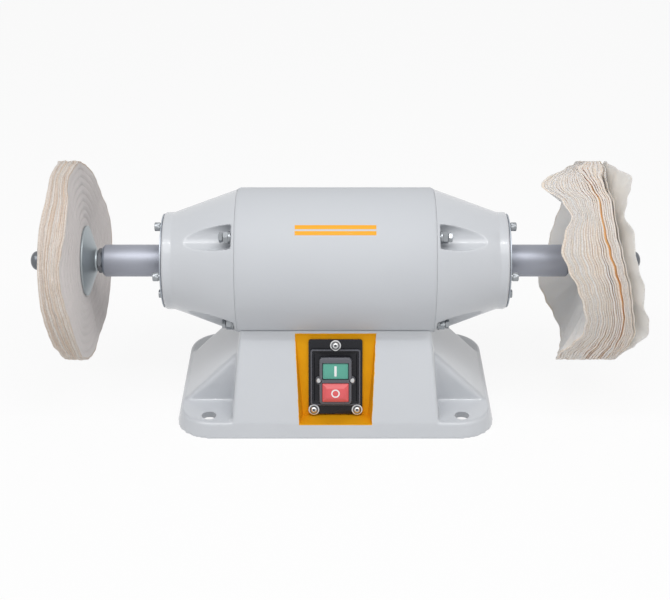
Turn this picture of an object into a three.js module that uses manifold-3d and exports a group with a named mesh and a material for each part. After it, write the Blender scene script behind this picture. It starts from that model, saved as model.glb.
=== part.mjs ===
// Double-ended bench polishing machine: a barrel motor with conical end shields on a cast base,
// a sewn cotton buff on its left spindle, a loose cotton buff on its right one, and a two-button switch.
// Millimetres, +Z up, +X to the right along the shaft, the front faces -Y.
// The origin is on the bench, straight below the middle of the shaft.
import * as THREE from "three";
import { mergeVertices } from "three/addons/utils/BufferGeometryUtils.js";
import { ConvexGeometry } from "three/addons/geometries/ConvexGeometry.js";
import Module from "manifold-3d";

const wasm = await Module();
wasm.setup();

// Whole machine
const shaftHeight = 148;
const fitGap = 0.3; // between two pieces that touch
const holeGap = 0.6; // round a screw or a rod in its hole
const cutOverrun = 5; // how far a cutter runs past what it cuts
const largeSides = 32;
const mediumSides = 16;
const smallSides = 10;
const flangeSides = 24;
const pocketSides = 12;
const holeSides = 8;
const hexSides = 6;

// Base casting
const baseHalfLength = 158.5;
const baseHalfDepth = 98;
const baseCornerRadius = 36;
const flangeHeight = 16;
const flangeDraft = 3.5;
const flangeEdgeRadius = 2;
const flangePlateThickness = 6.3;
const baseWall = 6;
const mountHoleRadius = 7.2;
const mountHoleInsetX = 33.1; // from the base's end
const mountHoleInsetY = 18; // from its front or back
const pedestalFootHalfLength = 102.2;
const pedestalSetback = 3.6; // its foot behind the flange's edge
const pedestalTopHalfLength = 95.4;
const pedestalTopHalfDepth = 53.7;
const pedestalSlopeTop = 90; // height where the slope turns into the upright lip
const saddleLipHeight = 7;
const saddleLipDraft = 0.7;
const pedestalCornerRadius = 4;
const wedgeHalfDepth = 50.7;
const wedgeToeSetback = 6; // its toe behind the base's end
const wedgeTopX = 99.4;
const wedgeTopHeight = 68;
const wedgeEdgeRadius = 6;
const coverBossX = 80;
const coverBossRadius = 6;

// Switch recess in the front of the base
const recessTilt = THREE.MathUtils.degToRad(17); // its floor against the upright
const recessTopHeight = 92.5;
const recessTopInset = 1.4; // how far behind the lip its floor starts
const recessTopHalfWidth = 39.4;
const recessFootHalfWidth = 32.2;
const recessFootHeight = 15;
const recessWallShare = 0.176; // how far a wall leans sideways, as a share of the depth
const recessBackWall = 4;

// Base cover and what lies on it
const coverOverlap = 8.8; // past the pedestal's foot
const coverSetback = 9.5; // behind the flange's edge
const coverThickness = 1.6;
const coverFloorGap = 1.6;
const coverCornerRadius = 12;
const coverScrewRadius = 2;
const coverScrewHeadRadius = 4;
const coverScrewHeadHeight = 1.3;
const coverScrewLength = 14;
const capacitorRadius = 19;
const capacitorLength = 68;
const capacitorX = -38;
const capacitorY = 36;
const capacitorTagLength = 6;
const capacitorTagThickness = 0.8;
const capacitorTagHalfWidth = 3.2;
const terminalLength = 52;
const terminalDepth = 20;
const terminalHeight = 15;
const terminalStep = 7;
const terminalX = 44;
const terminalY = 40;
const saddleBoltX = 52;
const saddleBoltRadius = 4;
const saddleBoltHeadFlats = 13;
const saddleBoltHeadHeight = 5.3;
const saddleBoltReach = 8; // into the motor housing

// Motor housing
const barrelRadius = 73;
const barrelHalfLength = 97;
const barrelWall = 5;
const barrelEdge = 1.6;
const barrelRibWidth = 14;
const leadHoleRadius = 8;
const tieRodCircle = 66;
const tieRodRadius = 3;
const tieRodLobeRadius = 7;
const tieRodProud = 4.4;
const tieNutFlats = 10;
const tieNutHeight = 5.2;
const tieWasherRadius = 6;
const tieWasherThickness = 1.8;

// Stator and rotor
const statorRadius = 61.7;
const statorBoreRadius = 37;
const statorHalfLength = 45;
const statorSlots = 12;
const statorSlotWidth = 7;
const statorSlotDepth = 13;
const windingInnerRadius = 39.5;
const windingOuterRadius = 55.5;
const windingLength = 24;
const rotorRadius = 36.3;
const rotorHalfLength = 45;
const rotorRingOuterRadius = 33;
const rotorRingLength = 9;
const rotorBlades = 8;
const rotorBladeLength = 9;
const rotorBladeThickness = 2.4;
const rotorBladeHeight = 11;

// Shaft
const shaftCoreRadius = 14;
const shaftSeatRadius = 10;
const shaftThreadRadius = 6.8;

// End shields, covers and bearings
const shieldMouthRadius = 71.4;
const shieldNoseRadius = 48.5;
const shieldConeLength = 63;
const shieldNoseLength = 9;
const shieldNoseEdge = 2.6;
const shieldWall = 5;
const shieldEndWall = 9;
const pocketRadius = 12.6;
const pocketWall = 3.4;
const pocketFloor = 3;
const bearingHubWall = 6;
const bearingLip = 3;
const bearingLipRadius = 18;
const bearingOuterRadius = 23.5;
const bearingWidth = 14;
const raceThickness = 3;
const ballRadius = 3.1;
const ballCount = 7;
const ballSides = 5;
const ballRings = 3;
const cageThickness = 1.6;
const cageWidth = 3.4;
const endCoverRadius = 46.8;
const endCoverThickness = 1.2;
const coverScrewCircle = 37;
const capScrewRadius = 2.5;
const capScrewHeadRadius = 4.3;
const capScrewHeadHeight = 5.4;
const capScrewSocketFlats = 4;
const capScrewSocketDepth = 2.6;
const springWasherRadius = 3.8;
const springWasherThickness = 2;
const capScrewLength = 11;

// Spindle pieces, from the end cover outwards
const sleeveRadius = 16;
const sleeveEnd = 232;
const sleeveEdge = 2.6;
const jamNutFlats = 21.5;
const jamNutHeight = 4.4;
const flangeRimRadius = 35;
const flangeRimThickness = 2;
const flangeHubRadius = 12.4;
const flangeNeckRadius = 10.6;
const flangeNeckLength = 1.8;
const flangeConeLength = 8.4;
const buffRadius = 100;
const buffWidth = 22;
const buffClampRadius = 36; // the cloth is flat inside this and free outside it
const capNutFlats = 22;
const capNutHexHeight = 9.6;
const capNutDomeRadius = 9.5;
const capNutDomeCylinder = 4;
const capNutLength = 20.1;
const capNutRoof = 7.4;
const domeSteps = 5;

// Sewn buff: how far its rim leans outwards, as shares of the most, every 30 degrees from the front over the top
const sewnLean = 11;
const sewnLeanShares = [0.78, 0.5, 0.2, 0.55, 0.4, 0.08, -0.9, -0.95, -0.72, -0.27, -0.18, 0.4];
const sewnSteps = 24;
const sewnStitchRadii = [52, 72];
const sewnStitchWidth = 3;
const sewnStitchDepth = 0.8;
const sewnRimRound = 2.5;
const sewnPlyGrooves = 2;
const sewnGrooveDepth = 1.6;
const sewnGrooveWidth = 1.6;

// Loose buff: lean of its inmost and outmost leaf, as shares of the most, every 20 degrees from the front over the top
const looseLeaves = 4;
const looseSteps = 24;
const looseLeanIn = 45;
const looseLeanInShares = [
  0.38, 0.71, 0.82, 0.75, 1.0, 0.71, 0.4, 0.22, 0.18, 0.38, 0.55, 0.73, 0.34, 0.33, 0.49, 0.69, 0.69, 0.2,
];
const looseLeanOut = 24;
const looseLeanOutShares = [
  0.71, 0.42, 0.25, 0.0, 0.46, 0.58, 0.38, 0.12, 0.29, 0.67, 0.83, 0.42, 0.21, 0.42, 0.58, 0.33, 0.33, 1.0,
];
const looseLeafThickness = 3.4;
const looseRimThickness = 6;
const looseCoreRadius = 29;

// Switch, in the plane of the recess floor
const plateHalfWidth = 26.6;
const plateHalfHeight = 37.8;
const plateThickness = 2;
const plateCornerRadius = 2.4;
const plateCentreDrop = 42.4; // from the top of the recess floor
const frameHalfWidth = 24.6;
const frameHalfHeight = 28.3;
const frameHeight = 3.2;
const frameRim = 1.6;
const bezelHalfWidth = 15.9;
const bezelHalfHeight = 23.4;
const bezelHeight = 6.4;
const bezelCornerRadius = 3.4;
const bezelDrop = 3; // its middle below the plate's
const switchBodyHalfWidth = 14.4;
const switchBodyHalfHeight = 21.4;
const switchBodyDepth = 34;
const switchTabReach = 19.6;
const switchTabHalfHeight = 4.2;
const switchTabThickness = 2.2;
const switchScrewOffset = 16.4;
const switchScrewHeadRadius = 2.5;
const switchScrewHeadHeight = 1.6;
const switchScrewRadius = 1.4;
const switchScrewLength = 4;
const switchBladeHalfWidth = 3.2;
const switchBladeThickness = 0.8;
const switchBladeLength = 8;
const switchBladeOffset = 12;
const startHalfWidth = 12.6;
const startHalfHeight = 8;
const stopHalfWidth = 12.9;
const stopHalfHeight = 9.1;
const startRise = 9.85; // from the bezel's middle up to the start button's
const stopDrop = 11.3; // and down to the stop button's
const buttonDepth = 9;
const startSink = 1.2; // below the bezel's face
const stopProud = 4.4;
const stopBevel = 2.6;
const buttonWellDepth = 13;
const buttonClearance = 0.4;
const plateScrewTop = 31.8;
const plateScrewLowerDrop = 33;
const plateScrewLowerOffset = 21.4;
const plateScrewRadius = 2;
const plateWasherRadius = 5.4;
const plateWasherThickness = 1.2;
const plateScrewHeadRadius = 3.9;
const plateScrewHeadHeight = 2.6;
const plateSocketFlats = 2.5;
const plateSocketDepth = 1.4;
const plateScrewLength = 9;

// Cable gland in the back of the base
const glandX = 60;
const glandHeight = 52;
const glandThreadRadius = 8;
const glandBoreRadius = 4;
const glandFlats = 22;
const glandHexHeight = 7;
const glandDomeRadius = 9.6;
const glandDomeLength = 11;
const glandLockFlats = 22;
const glandLockHeight = 4;

// Leads inside the base
const leadRadius = 3.4;
const leadSides = 8;
const leadSteps = 14;

const quarterTurn = Math.PI / 2;
const fullTurn = Math.PI * 2;
const cornerSteps = 6;
const smallCornerSteps = 2;

// Places worked out from the sizes above
const shieldEnd = barrelHalfLength + fitGap + shieldConeLength + shieldNoseLength;
const endCoverFace = shieldEnd + fitGap + endCoverThickness;
const bearingFace = shieldEnd - bearingLip; // the bearing's outer side
const bearingBack = bearingFace - bearingWidth;
const shaftSeatStart = bearingBack - fitGap;
const threadStart = sleeveEnd - fitGap;
const jamNutStart = sleeveEnd + fitGap;
const innerFlangeStart = jamNutStart + jamNutHeight + fitGap;
const flangeLength = flangeNeckLength + flangeConeLength + flangeRimThickness;
const buffStart = innerFlangeStart + flangeLength + fitGap;
const outerFlangeStart = buffStart + buffWidth + fitGap;
const capNutStart = outerFlangeStart + flangeLength + fitGap;
const capNutTip = capNutStart + capNutLength;
const shaftThreadEnd = capNutTip - capNutRoof;
const buffBore = shaftThreadRadius + fitGap;
const saddleRadius = barrelRadius + fitGap;
const mountHoleHalfSpacingX = baseHalfLength - mountHoleInsetX;
const mountHoleHalfSpacingY = baseHalfDepth - mountHoleInsetY;
const wedgeFootX = baseHalfLength - wedgeToeSetback;
const pedestalFootHalfDepth = baseHalfDepth - pedestalSetback;
const pedestalSlope =
  (pedestalFootHalfDepth - pedestalTopHalfDepth) / (pedestalSlopeTop - flangeHeight);
const coverTop = coverFloorGap + coverThickness;
const coverHalfLength = pedestalFootHalfLength + coverOverlap;
const coverHalfDepth = baseHalfDepth - coverSetback;
const glandTilt = Math.atan(pedestalSlope);
const glandY = pedestalFootHalfDepth - (glandHeight - flangeHeight) * pedestalSlope;

// Materials
function finish(color, roughness, metalness) {
  return new THREE.MeshStandardMaterial({ color, roughness, metalness });
}
const greyPaint = finish(0xd3d6da, 0.32, 0.0);
const paleAluminium = finish(0xb4b9bf, 0.4, 0.9);
const turnedSteel = finish(0x9a9da6, 0.35, 0.9);
const zincSteel = finish(0xc9ccd0, 0.3, 0.95);
const darkSteel = finish(0x6a6c70, 0.45, 0.85);
const copper = finish(0xb87333, 0.4, 0.9);
const cotton = finish(0xe9dfd2, 0.95, 0.0);
const blackPlastic = finish(0x1c1d20, 0.35, 0.0);
const greyPlastic = finish(0x5d5f66, 0.45, 0.0);
const greenPlastic = finish(0x2f9c7c, 0.35, 0.0);
const redPlastic = finish(0xe04050, 0.35, 0.0);
const rubber = finish(0x202020, 0.8, 0.0);

// Any closed geometry as a solid that can be joined and cut.
function solidOf(geometry) {
  const plain = geometry.index ? geometry.toNonIndexed() : geometry.clone();
  plain.deleteAttribute("normal");
  plain.deleteAttribute("uv");
  const merged = mergeVertices(plain, 1e-4);
  const corners = merged.index.array;
  const kept = [];
  for (let i = 0; i < corners.length; i += 3) {
    const [a, b, c] = [corners[i], corners[i + 1], corners[i + 2]];
    if (a !== b && b !== c && a !== c) {
      kept.push(a, b, c);
    }
  }
  const vertProperties = new Float32Array(merged.attributes.position.array);
  const triVerts = new Uint32Array(kept);
  return new wasm.Manifold(new wasm.Mesh({ numProp: 3, vertProperties, triVerts }));
}

function geometryOf(solid) {
  const mesh = solid.getMesh();
  const geometry = new THREE.BufferGeometry();
  geometry.setAttribute("position", new THREE.BufferAttribute(new Float32Array(mesh.vertProperties), 3));
  geometry.setIndex(new THREE.BufferAttribute(new Uint32Array(mesh.triVerts), 1));
  const faceted = geometry.toNonIndexed();
  faceted.computeVertexNormals();
  return faceted;
}

function joined(...geometries) {
  const solids = geometries.map(solidOf);
  return geometryOf(solids.reduce((whole, next) => whole.add(next)));
}

function cut(geometry, ...cutters) {
  const solids = cutters.map(solidOf);
  return geometryOf(solids.reduce((whole, next) => whole.subtract(next), solidOf(geometry)));
}

function shared(first, second) {
  return geometryOf(solidOf(first).intersect(solidOf(second)));
}

// A profile of [along, radius] turned about the X axis.
function turned(profile, sides) {
  const points = profile.map(([along, radius]) => new THREE.Vector2(radius, along));
  const loop = points[0].equals(points.at(-1)) ? points : [...points, points[0]];
  if (THREE.ShapeUtils.area(loop) < 0) {
    points.reverse();
  }
  return new THREE.LatheGeometry(points, sides).rotateZ(-quarterTurn);
}

// A ring about the X axis, from one place along it to another.
function tube(start, end, innerRadius, outerRadius, sides) {
  return turned(
    [
      [start, innerRadius],
      [start, outerRadius],
      [end, outerRadius],
      [end, innerRadius],
      [start, innerRadius],
    ],
    sides,
  );
}

// A solid rod along X.
function rod(start, end, radius, sides) {
  return turned(
    [
      [start, 0],
      [start, radius],
      [end, radius],
      [end, 0],
    ],
    sides,
  );
}

// A hexagonal bar along X, given by its width across flats.
function hexBar(start, end, flats) {
  return rod(start, end, flats / Math.sqrt(3), hexSides);
}

function box(width, depth, height, x = 0, y = 0, z = 0) {
  return new THREE.BoxGeometry(width, depth, height).translate(x, y, z);
}

// The corners of a rectangle with rounded corners, round its middle.
function roundedRectangle(halfWidth, halfHeight, radius, steps) {
  const points = [];
  for (let corner = 0; corner < 4; corner++) {
    const signX = corner === 0 || corner === 3 ? 1 : -1;
    const signY = corner < 2 ? 1 : -1;
    for (let i = 0; i <= steps; i++) {
      const angle = (corner + i / steps) * quarterTurn;
      points.push([
        signX * (halfWidth - radius) + radius * Math.cos(angle),
        signY * (halfHeight - radius) + radius * Math.sin(angle),
      ]);
    }
  }
  return points;
}

// A solid whose level sections are rounded rectangles, given from the bottom up.
function stacked(levels, steps) {
  const outlines = levels.map((l) => roundedRectangle(l.halfX, l.halfY, l.radius, steps));
  const count = outlines[0].length;
  const positions = [];
  outlines.forEach((outline, k) => outline.forEach(([x, y]) => positions.push(x, y, levels[k].z)));
  const bottom = levels.length * count;
  positions.push(0, 0, levels[0].z, 0, 0, levels.at(-1).z);
  const index = [];
  for (let i = 0; i < count; i++) {
    const j = (i + 1) % count;
    for (let k = 0; k + 1 < levels.length; k++) {
      const low = k * count;
      const high = low + count;
      index.push(low + i, low + j, high + j, low + i, high + j, high + i);
    }
    const last = (levels.length - 1) * count;
    index.push(bottom, j, i, bottom + 1, last + i, last + j);
  }
  const geometry = new THREE.BufferGeometry();
  geometry.setAttribute("position", new THREE.Float32BufferAttribute(positions, 3));
  geometry.setIndex(index);
  return geometry.toNonIndexed();
}

// A plate with rounded corners, its bottom at z = 0.
function roundedPlate(halfWidth, halfHeight, radius, thickness) {
  const level = { halfX: halfWidth, halfY: halfHeight, radius };
  return stacked([{ ...level, z: 0 }, { ...level, z: thickness }], smallCornerSteps);
}

// A closed ring about the X axis whose profile of [along, radius] is bent sideways at each angle.
function bentRing(profile, steps, bend) {
  const positions = [];
  const index = [];
  for (let a = 0; a < steps; a++) {
    const angle = (a / steps) * fullTurn;
    for (const [along, radius] of profile) {
      positions.push(along + bend(along, radius, angle), -radius * Math.cos(angle), radius * Math.sin(angle));
    }
  }
  const count = profile.length;
  for (let a = 0; a < steps; a++) {
    const here = a * count;
    const next = ((a + 1) % steps) * count;
    for (let i = 0; i < count; i++) {
      const j = (i + 1) % count;
      index.push(here + i, here + j, next + j, here + i, next + j, next + i);
    }
  }
  const geometry = new THREE.BufferGeometry();
  geometry.setAttribute("position", new THREE.Float32BufferAttribute(positions, 3));
  geometry.setIndex(index);
  return geometry.toNonIndexed();
}

// A value between the entries of a table that goes once round the circle.
function roundTable(shares, angle) {
  const place = (angle / fullTurn) * shares.length;
  const i = Math.floor(place);
  const t = place - i;
  const at = (k) => shares[(((i + k) % shares.length) + shares.length) % shares.length];
  const smooth = t * t * (3 - 2 * t);
  return at(0) * (1 - smooth) + at(1) * smooth;
}

function mesh(name, geometry, material) {
  const made = new THREE.Mesh(geometry, material);
  made.name = name;
  return made;
}

// The frame of the recess floor: its own z points out of the machine, its y up along the floor.
const recessTopY = pedestalTopHalfDepth - recessTopInset;
const switchFrame = new THREE.Group();
switchFrame.rotation.x = quarterTurn - recessTilt;
switchFrame.position.set(
  0,
  -recessTopY - plateCentreDrop * Math.sin(recessTilt),
  recessTopHeight - plateCentreDrop * Math.cos(recessTilt),
);
switchFrame.updateMatrix();

// The places of the three screws of the switch plate, in that frame.
const plateScrewPlaces = {
  top: [0, plateScrewTop],
  left: [-plateScrewLowerOffset, -plateScrewLowerDrop],
  right: [plateScrewLowerOffset, -plateScrewLowerDrop],
};

// The space of the recess, grown by a wall thickness where the casting needs a wall behind it.
function recessSpace(grow) {
  const depth = pedestalFootHalfDepth;
  const points = [];
  for (const side of [-1, 1]) {
    for (const [height, half] of [
      [recessTopHeight + grow, recessTopHalfWidth],
      [recessFootHeight - grow, recessFootHalfWidth],
    ]) {
      const floorY = recessTopY + (recessTopHeight - height) * Math.tan(recessTilt) - grow;
      points.push(new THREE.Vector3(side * (half + grow), -floorY, height));
      points.push(
        new THREE.Vector3(side * (half + grow + depth * recessWallShare), -floorY - depth, height),
      );
    }
  }
  return new ConvexGeometry(points);
}

function pedestalLevels(wall, bottom) {
  const lipTop = pedestalSlopeTop + saddleLipHeight;
  const radius = pedestalCornerRadius;
  const footLevel = { halfX: pedestalFootHalfLength - wall, halfY: pedestalFootHalfDepth - wall, radius };
  const topLevel = { halfX: pedestalTopHalfLength - wall, halfY: pedestalTopHalfDepth - wall, radius };
  return [
    { ...footLevel, z: bottom },
    { ...footLevel, z: flangeHeight },
    { ...topLevel, z: pedestalSlopeTop },
    {
      halfX: topLevel.halfX - saddleLipDraft,
      halfY: topLevel.halfY - saddleLipDraft,
      radius,
      z: lipTop,
    },
  ];
}

// One side wedge, or the hollow under it when a wall is given.
function wedge(wall) {
  const slope = (wedgeTopHeight - flangeHeight) / (wedgeFootX - wedgeTopX);
  const innerX = pedestalTopHalfLength - baseWall - wedgeEdgeRadius;
  const dip = wall * Math.hypot(1, slope);
  const bottom = wall > 0 ? -cutOverrun : flangeHeight - flangePlateThickness + fitGap - wedgeEdgeRadius;
  const rise = (x) => flangeHeight + (wedgeFootX - x) * slope - dip;
  const toe = wedgeFootX - (bottom + dip - flangeHeight) / slope;
  const outerX = Math.min(toe, baseHalfLength - flangeDraft - baseWall - wall / 2);
  const outline = new THREE.Shape([
    new THREE.Vector2(innerX, bottom),
    new THREE.Vector2(outerX, bottom),
    new THREE.Vector2(outerX, rise(outerX)),
    new THREE.Vector2(innerX, rise(innerX)),
  ]);
  const halfDepth = wedgeHalfDepth - wall;
  const edge = wall > 0 ? 0 : wedgeEdgeRadius;
  const prism = new THREE.ExtrudeGeometry(outline, {
    depth: 2 * (halfDepth - edge),
    bevelEnabled: edge > 0,
    bevelThickness: edge,
    bevelSize: edge,
    bevelOffset: -edge,
    bevelSegments: smallCornerSteps,
  });
  // The shape's x, y become X, Z, and the prism runs along Y.
  return prism.rotateX(quarterTurn).translate(0, halfDepth - edge, 0);
}

function bothSides(geometry) {
  return [geometry, geometry.clone().rotateZ(Math.PI)];
}

function baseCasting() {
  const draftTop = flangeHeight - flangeEdgeRadius;
  const flange = stacked(
    [
      { z: 0, halfX: baseHalfLength, halfY: baseHalfDepth, radius: baseCornerRadius },
      {
        z: draftTop,
        halfX: baseHalfLength - flangeDraft,
        halfY: baseHalfDepth - flangeDraft,
        radius: baseCornerRadius - flangeDraft,
      },
      {
        z: flangeHeight,
        halfX: baseHalfLength - flangeDraft - flangeEdgeRadius,
        halfY: baseHalfDepth - flangeDraft - flangeEdgeRadius,
        radius: baseCornerRadius - flangeDraft - flangeEdgeRadius,
      },
    ],
    cornerSteps,
  );
  const inset = flangeDraft + baseWall;
  const panLevel = {
    halfX: baseHalfLength - inset,
    halfY: baseHalfDepth - inset,
    radius: baseCornerRadius - inset,
  };
  const pan = stacked(
    [
      { ...panLevel, z: -cutOverrun },
      { ...panLevel, z: flangeHeight - flangePlateThickness },
    ],
    cornerSteps,
  );
  const pedestal = stacked(
    pedestalLevels(0, flangeHeight - flangePlateThickness + fitGap),
    smallCornerSteps,
  );
  const saddle = rod(-baseHalfLength, baseHalfLength, saddleRadius, largeSides).translate(0, 0, shaftHeight);
  const underSaddle = rod(-baseHalfLength, baseHalfLength, saddleRadius + baseWall, mediumSides);
  underSaddle.translate(0, 0, shaftHeight);
  const bossTop = shaftHeight - saddleRadius - baseWall / 2;
  const bossBottom = coverTop + fitGap;
  const boss = new THREE.CylinderGeometry(
    coverBossRadius,
    coverBossRadius,
    bossTop - bossBottom,
    smallSides,
  );
  boss.rotateX(quarterTurn).translate(coverBossX, 0, (bossTop + bossBottom) / 2);
  const hollow = cut(
    stacked(pedestalLevels(baseWall, -cutOverrun), smallCornerSteps),
    underSaddle,
    recessSpace(recessBackWall),
    ...bothSides(boss),
  );
  const holes = [];
  for (const x of [-mountHoleHalfSpacingX, mountHoleHalfSpacingX]) {
    for (const y of [-mountHoleHalfSpacingY, mountHoleHalfSpacingY]) {
      holes.push(
        new THREE.CylinderGeometry(mountHoleRadius, mountHoleRadius, 2 * flangeHeight, mediumSides)
          .rotateX(quarterTurn)
          .translate(x, y, flangeHeight),
      );
    }
  }
  const bodyHole = box(
    2 * (switchBodyHalfWidth + fitGap + buttonClearance),
    2 * (switchBodyHalfHeight + fitGap + buttonClearance),
    2 * (recessBackWall + cutOverrun),
    0,
    -bezelDrop,
    0,
  ).applyMatrix4(switchFrame.matrix);
  const screwHoles = Object.values(plateScrewPlaces).map(([x, y]) =>
    new THREE.CylinderGeometry(
      plateScrewRadius + holeGap,
      plateScrewRadius + holeGap,
      2 * (plateScrewLength + cutOverrun),
      holeSides,
    )
      .rotateX(quarterTurn)
      .translate(x, y, 0)
      .applyMatrix4(switchFrame.matrix),
  );
  const boltHoles = bothSides(
    new THREE.CylinderGeometry(
      saddleBoltRadius + holeGap,
      saddleBoltRadius + holeGap,
      barrelRadius,
      holeSides,
    )
      .rotateX(quarterTurn)
      .translate(saddleBoltX, 0, shaftHeight - barrelRadius),
  );
  const coverScrewHoles = bothSides(
    new THREE.CylinderGeometry(
      coverScrewRadius + holeGap,
      coverScrewRadius + holeGap,
      2 * (coverScrewLength + fitGap),
      holeSides,
    )
      .rotateX(quarterTurn)
      .translate(coverBossX, 0, coverFloorGap),
  );
  const leadHole = new THREE.CylinderGeometry(leadHoleRadius, leadHoleRadius, barrelRadius, mediumSides)
    .rotateX(quarterTurn)
    .translate(0, 0, shaftHeight - barrelRadius);
  const glandHole = new THREE.CylinderGeometry(
    glandThreadRadius + fitGap,
    glandThreadRadius + fitGap,
    2 * (baseWall + cutOverrun),
    mediumSides,
  )
    .rotateX(glandTilt)
    .translate(glandX, glandY, glandHeight);
  return cut(
    joined(cut(flange, pan), ...bothSides(wedge(0)), pedestal),
    saddle,
    hollow,
    ...bothSides(wedge(baseWall)),
    recessSpace(0),
    bodyHole,
    glandHole,
    leadHole,
    ...holes,
    ...screwHoles,
    ...boltHoles,
    ...coverScrewHoles,
  );
}

function baseCover() {
  const plate = roundedPlate(coverHalfLength, coverHalfDepth, coverCornerRadius, coverThickness);
  const hole = new THREE.CylinderGeometry(
    coverScrewRadius + holeGap,
    coverScrewRadius + holeGap,
    2 * (coverThickness + cutOverrun),
    holeSides,
  ).rotateX(quarterTurn);
  return cut(plate, ...bothSides(hole.translate(coverBossX, 0, 0)));
}

// A screw that points along +X from its seat at x = 0: a head behind the seat and a shank in front of it.
function plainScrew(headRadius, headHeight, shankRadius, length) {
  return turned(
    [
      [-headHeight, 0],
      [-headHeight, headRadius],
      [0, headRadius],
      [0, shankRadius],
      [length, shankRadius],
      [length, 0],
    ],
    smallSides,
  );
}

function capacitor() {
  const can = rod(-capacitorLength / 2, capacitorLength / 2, capacitorRadius, mediumSides);
  const tags = [-1, 1].map((side) =>
    box(
      2 * capacitorTagLength,
      capacitorTagThickness,
      2 * capacitorTagHalfWidth,
      capacitorLength / 2,
      (side * capacitorRadius) / 2,
      0,
    ),
  );
  return joined(can, ...tags);
}

function terminalBlock() {
  const foot = box(terminalLength, terminalDepth, terminalHeight / 2, 0, 0, terminalHeight / 4);
  const ridge = box(terminalLength, terminalDepth - terminalStep, terminalHeight, 0, 0, terminalHeight / 2);
  const slots = [-1, 0, 1].map((k) =>
    box(
      terminalStep / 2,
      terminalDepth,
      terminalHeight / 2,
      (k * terminalLength) / 4,
      0,
      terminalHeight,
    ),
  );
  return cut(joined(foot, ridge), ...slots);
}

function saddleBolt() {
  const head = hexBar(-saddleBoltHeadHeight, 0, saddleBoltHeadFlats);
  const shank = rod(-fitGap, baseWall + fitGap + saddleBoltReach, saddleBoltRadius, smallSides);
  return joined(head, shank);
}

function motorHousing() {
  const half = barrelHalfLength;
  const inner = barrelRadius - barrelWall;
  const shell = turned(
    [
      [-half, inner],
      [-half, barrelRadius - barrelEdge],
      [-half + barrelEdge, barrelRadius],
      [half - barrelEdge, barrelRadius],
      [half, barrelRadius - barrelEdge],
      [half, inner],
      [-half, inner],
    ],
    largeSides,
  );
  const insideShell = barrelRadius - barrelWall / 2;
  const additions = [];
  const rodHoles = [];
  for (let k = 0; k < 4; k++) {
    const turn = k * quarterTurn;
    const lobe = rod(-half, half, tieRodLobeRadius, smallSides).translate(0, 0, tieRodCircle);
    const keep = rod(-half, half, insideShell, largeSides);
    additions.push(shared(lobe.rotateX(turn + quarterTurn / 2), keep));
    const ribHeight = insideShell - statorRadius + cutOverrun;
    const rib = box(2 * statorHalfLength, barrelRibWidth, ribHeight, 0, 0, insideShell - ribHeight / 2);
    additions.push(shared(rib.rotateX(turn), keep));
    const hole = rod(-half - cutOverrun, half + cutOverrun, tieRodRadius + holeGap, holeSides);
    rodHoles.push(hole.translate(0, 0, tieRodCircle).rotateX(turn + quarterTurn / 2));
  }
  const statorSpace = rod(-half - cutOverrun, half + cutOverrun, statorRadius + fitGap, largeSides);
  const boltHoles = bothSides(
    new THREE.CylinderGeometry(
      saddleBoltRadius + holeGap,
      saddleBoltRadius + holeGap,
      2 * (saddleBoltReach + fitGap),
      holeSides,
    )
      .rotateX(quarterTurn)
      .translate(saddleBoltX, 0, -barrelRadius),
  );
  const leadHole = new THREE.CylinderGeometry(
    leadHoleRadius,
    leadHoleRadius,
    2 * (barrelRadius - statorRadius + cutOverrun),
    mediumSides,
  )
    .rotateX(quarterTurn)
    .translate(0, 0, -barrelRadius);
  return cut(joined(shell, ...additions), statorSpace, leadHole, ...rodHoles, ...boltHoles);
}

// A tie rod with the nut and washer at each end.
function tieRod() {
  const seat = barrelHalfLength + fitGap + pocketFloor + fitGap;
  const nutStart = seat + tieWasherThickness;
  const nutEnd = nutStart + tieNutHeight;
  const tip = nutEnd + tieRodProud;
  const ends = [];
  for (const side of [-1, 1]) {
    const [a, b, c] = [side * seat, side * nutStart, side * nutEnd];
    ends.push(rod(Math.min(a, b), Math.max(a, b), tieWasherRadius, smallSides));
    ends.push(hexBar(Math.min(b, c), Math.max(b, c), tieNutFlats));
  }
  const stem = turned(
    [
      [-tip, 0],
      [-tip, tieRodRadius / 2],
      [-tip + tieRodRadius / 2, tieRodRadius],
      [tip - tieRodRadius / 2, tieRodRadius],
      [tip, tieRodRadius / 2],
      [tip, 0],
    ],
    holeSides,
  );
  return joined(stem, ...ends);
}

function statorCore() {
  const core = tube(-statorHalfLength, statorHalfLength, statorBoreRadius, statorRadius, largeSides);
  const slots = [];
  for (let k = 0; k < statorSlots; k++) {
    const reach = statorBoreRadius + statorSlotDepth;
    const slot = box(
      2 * (statorHalfLength + cutOverrun),
      statorSlotWidth,
      statorSlotDepth + cutOverrun,
      0,
      0,
      reach - (statorSlotDepth + cutOverrun) / 2,
    );
    slots.push(slot.rotateX((k / statorSlots) * fullTurn));
  }
  return cut(core, ...slots);
}

// The coil heads at one end of the stator: a ring with rounded shoulders.
function windingHead() {
  const start = statorHalfLength + fitGap;
  const end = start + windingLength;
  const shoulder = (windingOuterRadius - windingInnerRadius) / 3;
  return turned(
    [
      [start, windingInnerRadius],
      [start, windingOuterRadius - shoulder],
      [start + shoulder, windingOuterRadius],
      [end - shoulder, windingOuterRadius],
      [end, windingOuterRadius - shoulder],
      [end, windingInnerRadius + shoulder],
      [end - shoulder, windingInnerRadius],
      [start, windingInnerRadius],
    ],
    mediumSides,
  );
}

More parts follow.
